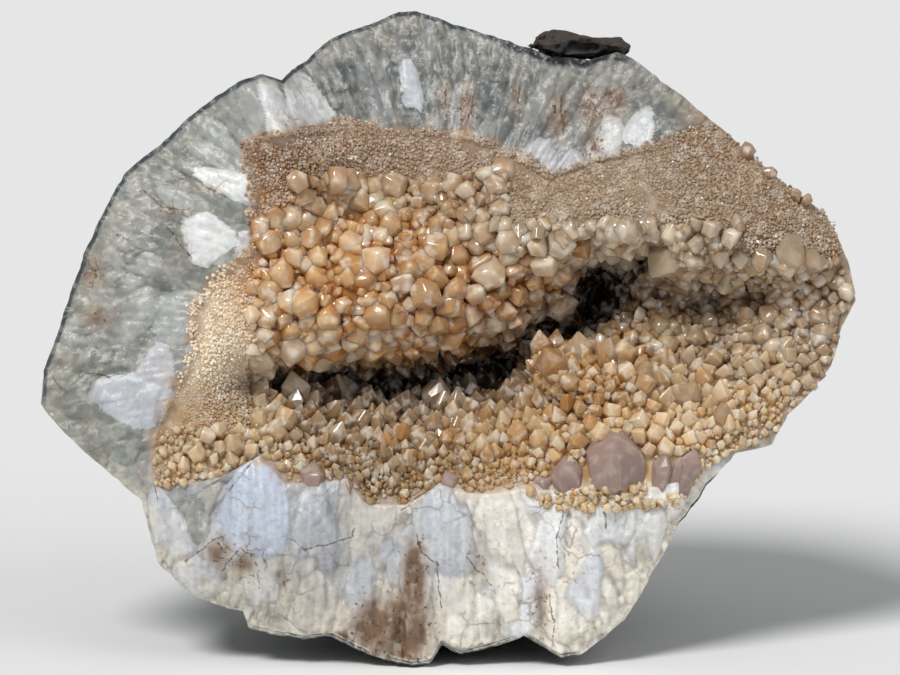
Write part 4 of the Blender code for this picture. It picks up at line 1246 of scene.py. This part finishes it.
def dented_rock(source):
    """The solid's own shape, with a dent wherever a bubble was."""
    rock = bpy.data.objects.new("pitted_host_rock", source.data.copy())
    bpy.context.scene.collection.objects.link(rock)
    remesh = rock.modifiers.new("small cells", "REMESH")
    remesh.mode = "VOXEL"
    remesh.voxel_size = CELL_MM * MM
    view = bpy.context.evaluated_depsgraph_get()
    fine = bpy.data.meshes.new_from_object(rock.evaluated_get(view))
    bpy.data.objects.remove(rock)
    count = len(fine.vertices)
    points = np.empty(count * 3)
    normals = np.empty(count * 3)
    fine.vertices.foreach_get("co", points)
    fine.vertices.foreach_get("normal", normals)
    points, normals = points.reshape(-1, 3), normals.reshape(-1, 3)
    pit_rng = np.random.default_rng(8)
    pits = points[pit_rng.integers(0, count, PITS)]
    sizes = pit_rng.uniform(*PIT_SIZES_MM, PITS) * MM
    dent = np.zeros(count)
    for pit, size in zip(pits, sizes):
        near = np.linalg.norm(points - pit, axis=1) / size
        dent = np.maximum(dent, size * 0.7 * np.clip(1 - near ** 2, 0, 1))
    rough = point_noise(points / MM, 3.0, 12) * ROUGHNESS_MM * MM
    points = points - normals * (dent + ROUGHNESS_MM * MM - rough)[:, None]
    bm = bmesh.new()
    bm.from_mesh(fine)
    triangles = mesh_arrays(bm)[1]
    shade = smooth_step(PIT_SIZES_MM[0] * MM, 0.0, dent)
    tint = blend(np.tile(BASALT, (count, 1)), PIT_GREY, shade * 0.5)
    # Faces that look upwards are blended towards a lighter brown.
    top = smooth_step(0.2, 0.8, normals[:, 2])
    tint = blend(tint, UPWARD_BROWN, top * 0.5)
    return mesh_piece("pitted_host_rock", points, triangles, tint, smooth=True)


rock = dented_rock(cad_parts["host_rock"])

# %% [markdown]
# The materials are made of shader nodes. Writing each node with its links takes many lines, so a few helpers
# add a node, feed its inputs with values or with other nodes, and hand back what comes out of it.

# %% Node helpers
def feed(tree, node, inputs):
    """Set each input to a value, or link it to the output that feeds it."""
    for name, value in inputs.items():
        if isinstance(value, bpy.types.NodeSocket):
            tree.links.new(value, node.inputs[name])
        else:
            node.inputs[name].default_value = value
    return node


def add_node(tree, kind, inputs, **settings):
    node = tree.nodes.new("ShaderNode" + kind)
    for name, value in settings.items():
        setattr(node, name, value)
    return feed(tree, node, inputs).outputs


def maths(tree, operation, *values):
    return add_node(tree, "Math", dict(enumerate(values)), operation=operation)[0]


def vector_maths(tree, operation, *values):
    return add_node(tree, "VectorMath", dict(enumerate(values)), operation=operation)[0]


def scaled(tree, vector, amount):
    return add_node(tree, "VectorMath", {0: vector, "Scale": amount}, operation="SCALE")[0]


def ranged(tree, source, low, high, first=0.0, last=1.0, curve="SMOOTHSTEP"):
    """The first value below low, the last one above high, and a soft step between."""
    inputs = {"Value": source, "From Min": low, "From Max": high, "To Min": first, "To Max": last}
    return add_node(tree, "MapRange", inputs, interpolation_type=curve)["Result"]


def noise_at(tree, place, scale, detail, result="Fac"):
    return add_node(tree, "TexNoise", {"Vector": place, "Scale": scale, "Detail": detail})[result]


def mixed(tree, share, first, second, blend_type="MIX"):
    """The first colour with a share of the second."""
    inputs = {"Factor": share, "A": first, "B": (*second, 1.0)}
    return add_node(tree, "Mix", inputs, data_type="RGBA", blend_type=blend_type)["Result"]


def wavy(tree, place, scale, reach_mm):
    """The place moved to and fro, so that a pattern on it gets wavy lines."""
    wave = noise_at(tree, place, scale, 2.0, "Color")
    return vector_maths(tree, "MULTIPLY_ADD", wave, (2 * reach_mm * MM,) * 3, place)


def new_group(name, inputs, outputs):
    """An empty node group: its tree, what comes in, what goes out, and the place on the object."""
    tree = bpy.data.node_groups.new(name, "ShaderNodeTree")
    for way, sockets in (("INPUT", inputs), ("OUTPUT", outputs)):
        for title, kind in sockets.items():
            tree.interface.new_socket(name=title, in_out=way, socket_type="NodeSocket" + kind)
    start, end = tree.nodes.new("NodeGroupInput"), tree.nodes.new("NodeGroupOutput")
    return tree, start.outputs, end, add_node(tree, "TexCoord", {})["Object"]


print("node helpers ready; one millimetre is", MM, "of the object's units")

# %% [markdown]
# All these materials need the same fine grain: a little change of colour and small bumps, at their own scale.
# That is one node group, placed in each material with its own values. The shader stays in the material.

# %% Grain group
CLOUD_SCALE = 210.0
CLOUD_EDGE = (0.48, 0.68)
WARM = (1.08, 0.84, 0.56)
MILKY = (0.86, 0.80, 0.70)


def cloud_mix(tree, place, amount, first, second, blend_type, shift):
    """Patches a few millimetres wide in which the colour is mixed with another."""
    moved = vector_maths(tree, "ADD", place, (shift,) * 3)
    cloud = ranged(tree, noise_at(tree, moved, CLOUD_SCALE, 2.0), *CLOUD_EDGE)
    return mixed(tree, maths(tree, "MULTIPLY", cloud, amount), first, second, blend_type)


def grain_group():
    amounts = ("Scale", "Contrast", "Warm Clouds", "Milk Clouds", "Roughness")
    tree, start, end, place = new_group(
        "mineral grain", {"Tint": "Color", **dict.fromkeys(amounts, "Float")},
        {"Color": "Color", "Roughness": "Float", "Height": "Float"})
    cloud = noise_at(tree, place, start["Scale"], 5.0)
    finer = maths(tree, "MULTIPLY", start["Scale"], 3.0)
    facets = add_node(tree, "TexVoronoi", {"Vector": place, "Scale": finer})["Distance"]
    spread = ranged(tree, cloud, 0.3, 0.7, -1.0, 1.0, curve="LINEAR")
    amount = maths(tree, "MULTIPLY_ADD", spread, start["Contrast"], 1.0)
    tinted = scaled(tree, start["Tint"], amount)
    warm = cloud_mix(tree, place, start["Warm Clouds"], tinted, WARM, "MULTIPLY", 0.0)
    milk = cloud_mix(tree, place, start["Milk Clouds"], warm, MILKY, "MIX", 7.0)
    feed(tree, end, {"Color": milk, "Roughness": maths(tree, "MULTIPLY", start["Roughness"], amount),
                     "Height": maths(tree, "ADD", cloud, facets)})
    return tree


GRAIN = grain_group()
print("nodes of the grain:", len(GRAIN.nodes))

# %% [markdown]
# Three kinds of brown mark lie on the stone: specks of dust, fine threads where stain crept along seams, and
# a few drawn cracks. In the slit, the throat and the corners of the crust the specks and threads are painted
# shade. Each point carries how stained it is and how far it is from a crack, and this group turns that into
# crisp marks. Painting them on the points alone would blur them over a cell of the mesh.

# %% Marks group
DUST_AND_SHADE_BROWN = (0.045, 0.026, 0.016)
THREAD_BROWN = (0.15, 0.085, 0.044)
CRACK_BROWN = (0.075, 0.042, 0.024)
CRACK_HALF_WIDTH = (0.28, 0.62)


def marks_group():
    tree, start, end, place = new_group(
        "brown marks", {"Tint": "Color", "Stain": "Float", "Crack": "Float"}, {"Color": "Color"})
    dust = ranged(tree, noise_at(tree, place, 520.0, 4.0), 0.60, 0.66)
    specks = maths(tree, "MULTIPLY", dust, ranged(tree, start["Stain"], 0.1, 0.9))
    cells = {"Scale": 95.0, "Vector": wavy(tree, place, 160.0, 3.0)}
    edges = add_node(tree, "TexVoronoi", cells, feature="DISTANCE_TO_EDGE")["Distance"]
    thread = ranged(tree, edges, 0.01, 0.05, 1.0, 0.0)
    some = ranged(tree, noise_at(tree, place, 60.0, 2.0), 0.50, 0.62)
    stained = ranged(tree, start["Stain"], 0.0, 0.5)
    thread = maths(tree, "MULTIPLY", maths(tree, "MULTIPLY", thread, some), stained)
    jitter = ranged(tree, noise_at(tree, place, 700.0, 3.0), 0.25, 0.75)
    off_crack = maths(tree, "MULTIPLY_ADD", jitter, 0.5, maths(tree, "ABSOLUTE", start["Crack"]))
    line = ranged(tree, off_crack, *CRACK_HALF_WIDTH, 1.0, 0.0)
    colour = start["Tint"]
    for share, strength, brown in (
            (thread, 0.5, THREAD_BROWN), (specks, 0.85, DUST_AND_SHADE_BROWN), (line, 0.75, CRACK_BROWN)):
        colour = mixed(tree, maths(tree, "MULTIPLY", share, strength), colour, brown)
    feed(tree, end, {"Color": colour})
    return tree


MARKS = marks_group()
print("nodes of the marks:", len(MARKS.nodes))

# %% [markdown]
# Broken quartz glitters because it is a patchwork of small flat breaks. Cells of two sizes each tilt the
# surface their own way. In the mesh this would need a hundred times the triangles, and only the gleam shows.

# %% Facets group
FACET_SIZES = ((230.0, 1.0), (640.0, 0.7))


def facets_group():
    tree, start, end, place = new_group("flat breaks", {"Tilt": "Float"}, {"Normal": "Vector"})
    normal = add_node(tree, "NewGeometry", {})["Normal"]
    for scale, share in FACET_SIZES:
        cells = {"Scale": scale, "Vector": wavy(tree, place, 300.0, 1.2)}
        colour = add_node(tree, "TexVoronoi", cells)["Color"]
        centred = vector_maths(tree, "MULTIPLY_ADD", colour, (2.0 * share,) * 3, (-share,) * 3)
        normal = vector_maths(tree, "ADD", normal, scaled(tree, centred, start["Tilt"]))
    feed(tree, end, {"Normal": vector_maths(tree, "NORMALIZE", normal)})
    return tree


FACETS = facets_group()
print("nodes of the facets:", len(FACETS.nodes))

# %% [markdown]
# Each material is one Principled shader: quartz lets light in a little way, so it has subsurface light, and
# only the large single crystals are partly clear. The tint of each point comes from the mesh.

# %% Materials
QUARTZ_IOR = 1.54


def mineral(name, scale, contrast, roughness, bump_mm, bump_strength, subsurface, radius_mm,
            warm=0.0, milk=0.0, clear=0.0, glow=(1.0, 0.9, 0.8), tilt=0.0):
    """A material that reads each point's tint, stain and crack, and adds the grain."""
    material = bpy.data.materials.new(name)
    material.use_nodes = True
    tree = material.node_tree
    tint, stain, crack = (add_node(tree, "Attribute", {}, attribute_name=title)
                          for title in ("tint", "stain", "crack"))
    grain = add_node(tree, "Group", {
        "Tint": tint["Color"], "Scale": scale, "Contrast": contrast, "Roughness": roughness,
        "Warm Clouds": warm, "Milk Clouds": milk}, node_tree=GRAIN)
    marks = add_node(tree, "Group", {
        "Tint": grain["Color"], "Stain": stain["Fac"], "Crack": crack["Fac"]}, node_tree=MARKS)
    bump = {"Strength": bump_strength, "Distance": bump_mm * MM, "Height": grain["Height"]}
    if tilt > 0.0:
        bump["Normal"] = add_node(tree, "Group", {"Tilt": tilt}, node_tree=FACETS)["Normal"]
    feed(tree, tree.nodes["Principled BSDF"], {
        "Base Color": marks["Color"], "Roughness": grain["Roughness"],
        "Normal": add_node(tree, "Bump", bump)["Normal"], "IOR": QUARTZ_IOR, "Transmission Weight": clear,
        "Subsurface Weight": subsurface, "Subsurface Radius": glow, "Subsurface Scale": radius_mm * MM})
    return material


def wear_material(piece, material, slot, *nodes):
    piece.data.materials.append(material)
    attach(piece, "root")
    if nodes:
        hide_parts(*nodes)


wall_quartz = mineral(
    "broken milky quartz", scale=420.0, contrast=0.10, roughness=0.38, bump_mm=0.3, bump_strength=0.3,
    subsurface=0.3, radius_mm=3.5, warm=0.1, milk=0.2, tilt=0.15)
crystal_quartz = mineral(
    "honey crystal faces", scale=260.0, contrast=0.10, roughness=0.13, bump_mm=0.1, bump_strength=0.15,
    subsurface=0.55, radius_mm=4.5, warm=0.4, milk=0.5, glow=(1.0, 0.84, 0.68))
clear_quartz = mineral(
    "clear crystal", scale=260.0, contrast=0.08, roughness=0.08, bump_mm=0.1, bump_strength=0.1,
    subsurface=0.3, radius_mm=4.0, warm=0.5, milk=0.3, clear=0.45)
sugar_quartz = mineral(
    "sugary druse", scale=700.0, contrast=0.14, roughness=0.25, bump_mm=0.1, bump_strength=0.2,
    subsurface=0.0, radius_mm=3.0, warm=0.25, milk=0.35)
mauve_quartz = mineral(
    "mauve crystal faces", scale=300.0, contrast=0.08, roughness=0.30, bump_mm=0.1, bump_strength=0.2,
    subsurface=0.4, radius_mm=3.0, milk=0.15)
basalt = mineral(
    "pitted host rock", scale=900.0, contrast=0.4, roughness=0.75, bump_mm=0.3, bump_strength=0.6,
    subsurface=0.0, radius_mm=1.0)
old_skin = mineral(
    "knobbly skin", scale=500.0, contrast=0.3, roughness=0.7, bump_mm=0.3, bump_strength=0.5,
    subsurface=0.0, radius_mm=1.0)

wear_material(broken_face, wall_quartz, "milky_quartz", "quartz_wall")
wear_material(skin, old_skin, "milky_quartz", "quartz_wall")
wear_material(mound, crystal_quartz, "honey_crystals", "crystal_crust")
wear_material(single, clear_quartz, "honey_crystals", "crystal_crust")
for piece in (right, lower, between_worn, filling):
    wear_material(piece, crystal_quartz, "honey_crystals", "crystal_crust")
wear_material(sugar, sugar_quartz, "honey_crystals", "crystal_crust")
wear_material(mauve, mauve_quartz, "honey_crystals", "crystal_crust")
wear_material(rock, basalt, "host_rock", "host_rock")

print("materials:", len(bpy.data.materials))

# %% [markdown]
# The picture: a pale floor, soft light from above and the front, and a camera that looks square onto the
# leaning face, from far away, so that the face keeps its outline.

# %% Floor, light and camera
FLOOR_HALF = 8.0
floor_mesh = bpy.data.meshes.new("floor")
corners = [(-1, -1), (1, -1), (1, 1), (-1, 1)]
floor_mesh.from_pydata([(x * FLOOR_HALF, y * FLOOR_HALF, 0) for x, y in corners], [], [(0, 1, 2, 3)])
floor = bpy.data.objects.new("floor", floor_mesh)
bpy.context.scene.collection.objects.link(floor)
paper = bpy.data.materials.new("pale paper")
paper.use_nodes = True
paper.node_tree.nodes["Principled BSDF"].inputs["Base Color"].default_value = (0.90, 0.90, 0.89, 1.0)
paper.node_tree.nodes["Principled BSDF"].inputs["Roughness"].default_value = 0.9
floor_mesh.materials.append(paper)

world = bpy.data.worlds.new("studio")
world.use_nodes = True
world.node_tree.nodes["Background"].inputs["Color"].default_value = (0.95, 0.97, 1.0, 1.0)
world.node_tree.nodes["Background"].inputs["Strength"].default_value = 0.26
bpy.context.scene.world = world
bpy.context.scene.view_settings.view_transform = "Standard"


def soft_sun(name, from_left, elevation, strength, softness):
    """A wide, soft light from a direction in degrees: how far left of the front, and how high."""
    data = bpy.data.lights.new(name, "SUN")
    data.energy = strength
    data.angle = math.radians(softness)
    lamp = bpy.data.objects.new(name, data)
    side, high = math.radians(from_left), math.radians(elevation)
    towards = Vector((-math.sin(side) * math.cos(high), -math.cos(side) * math.cos(high), math.sin(high)))
    lamp.rotation_euler = (-towards).to_track_quat("-Z", "Y").to_euler()
    bpy.context.scene.collection.objects.link(lamp)


soft_sun("window light", 30, 50, 2.3, 20)
soft_sun("light from the right", -50, 40, 0.45, 40)

PHOTO_WIDTH_MM = 328.8
PHOTO_CENTRE = (0.0, 120.4, 15.0)
CAMERA_AWAY = 3000.0
camera_data = bpy.data.cameras.new("camera")
camera_data.sensor_width = 36.0
camera_data.lens = 36.0 * CAMERA_AWAY / PHOTO_WIDTH_MM
camera_data.clip_end = 50.0
camera = bpy.data.objects.new("camera", camera_data)
aim = Vector(to_world(*PHOTO_CENTRE))
look = Vector(to_world(0.0, 0.0, 1.0) - to_world(0.0, 0.0, 0.0)).normalized()
camera.location = aim - look * CAMERA_AWAY * MM
camera.rotation_euler = look.to_track_quat("-Z", "Y").to_euler()
bpy.context.scene.collection.objects.link(camera)
bpy.context.scene.camera = camera

print("camera", round(CAMERA_AWAY / 1000, 1), "m away, lens", round(camera_data.lens), "mm")
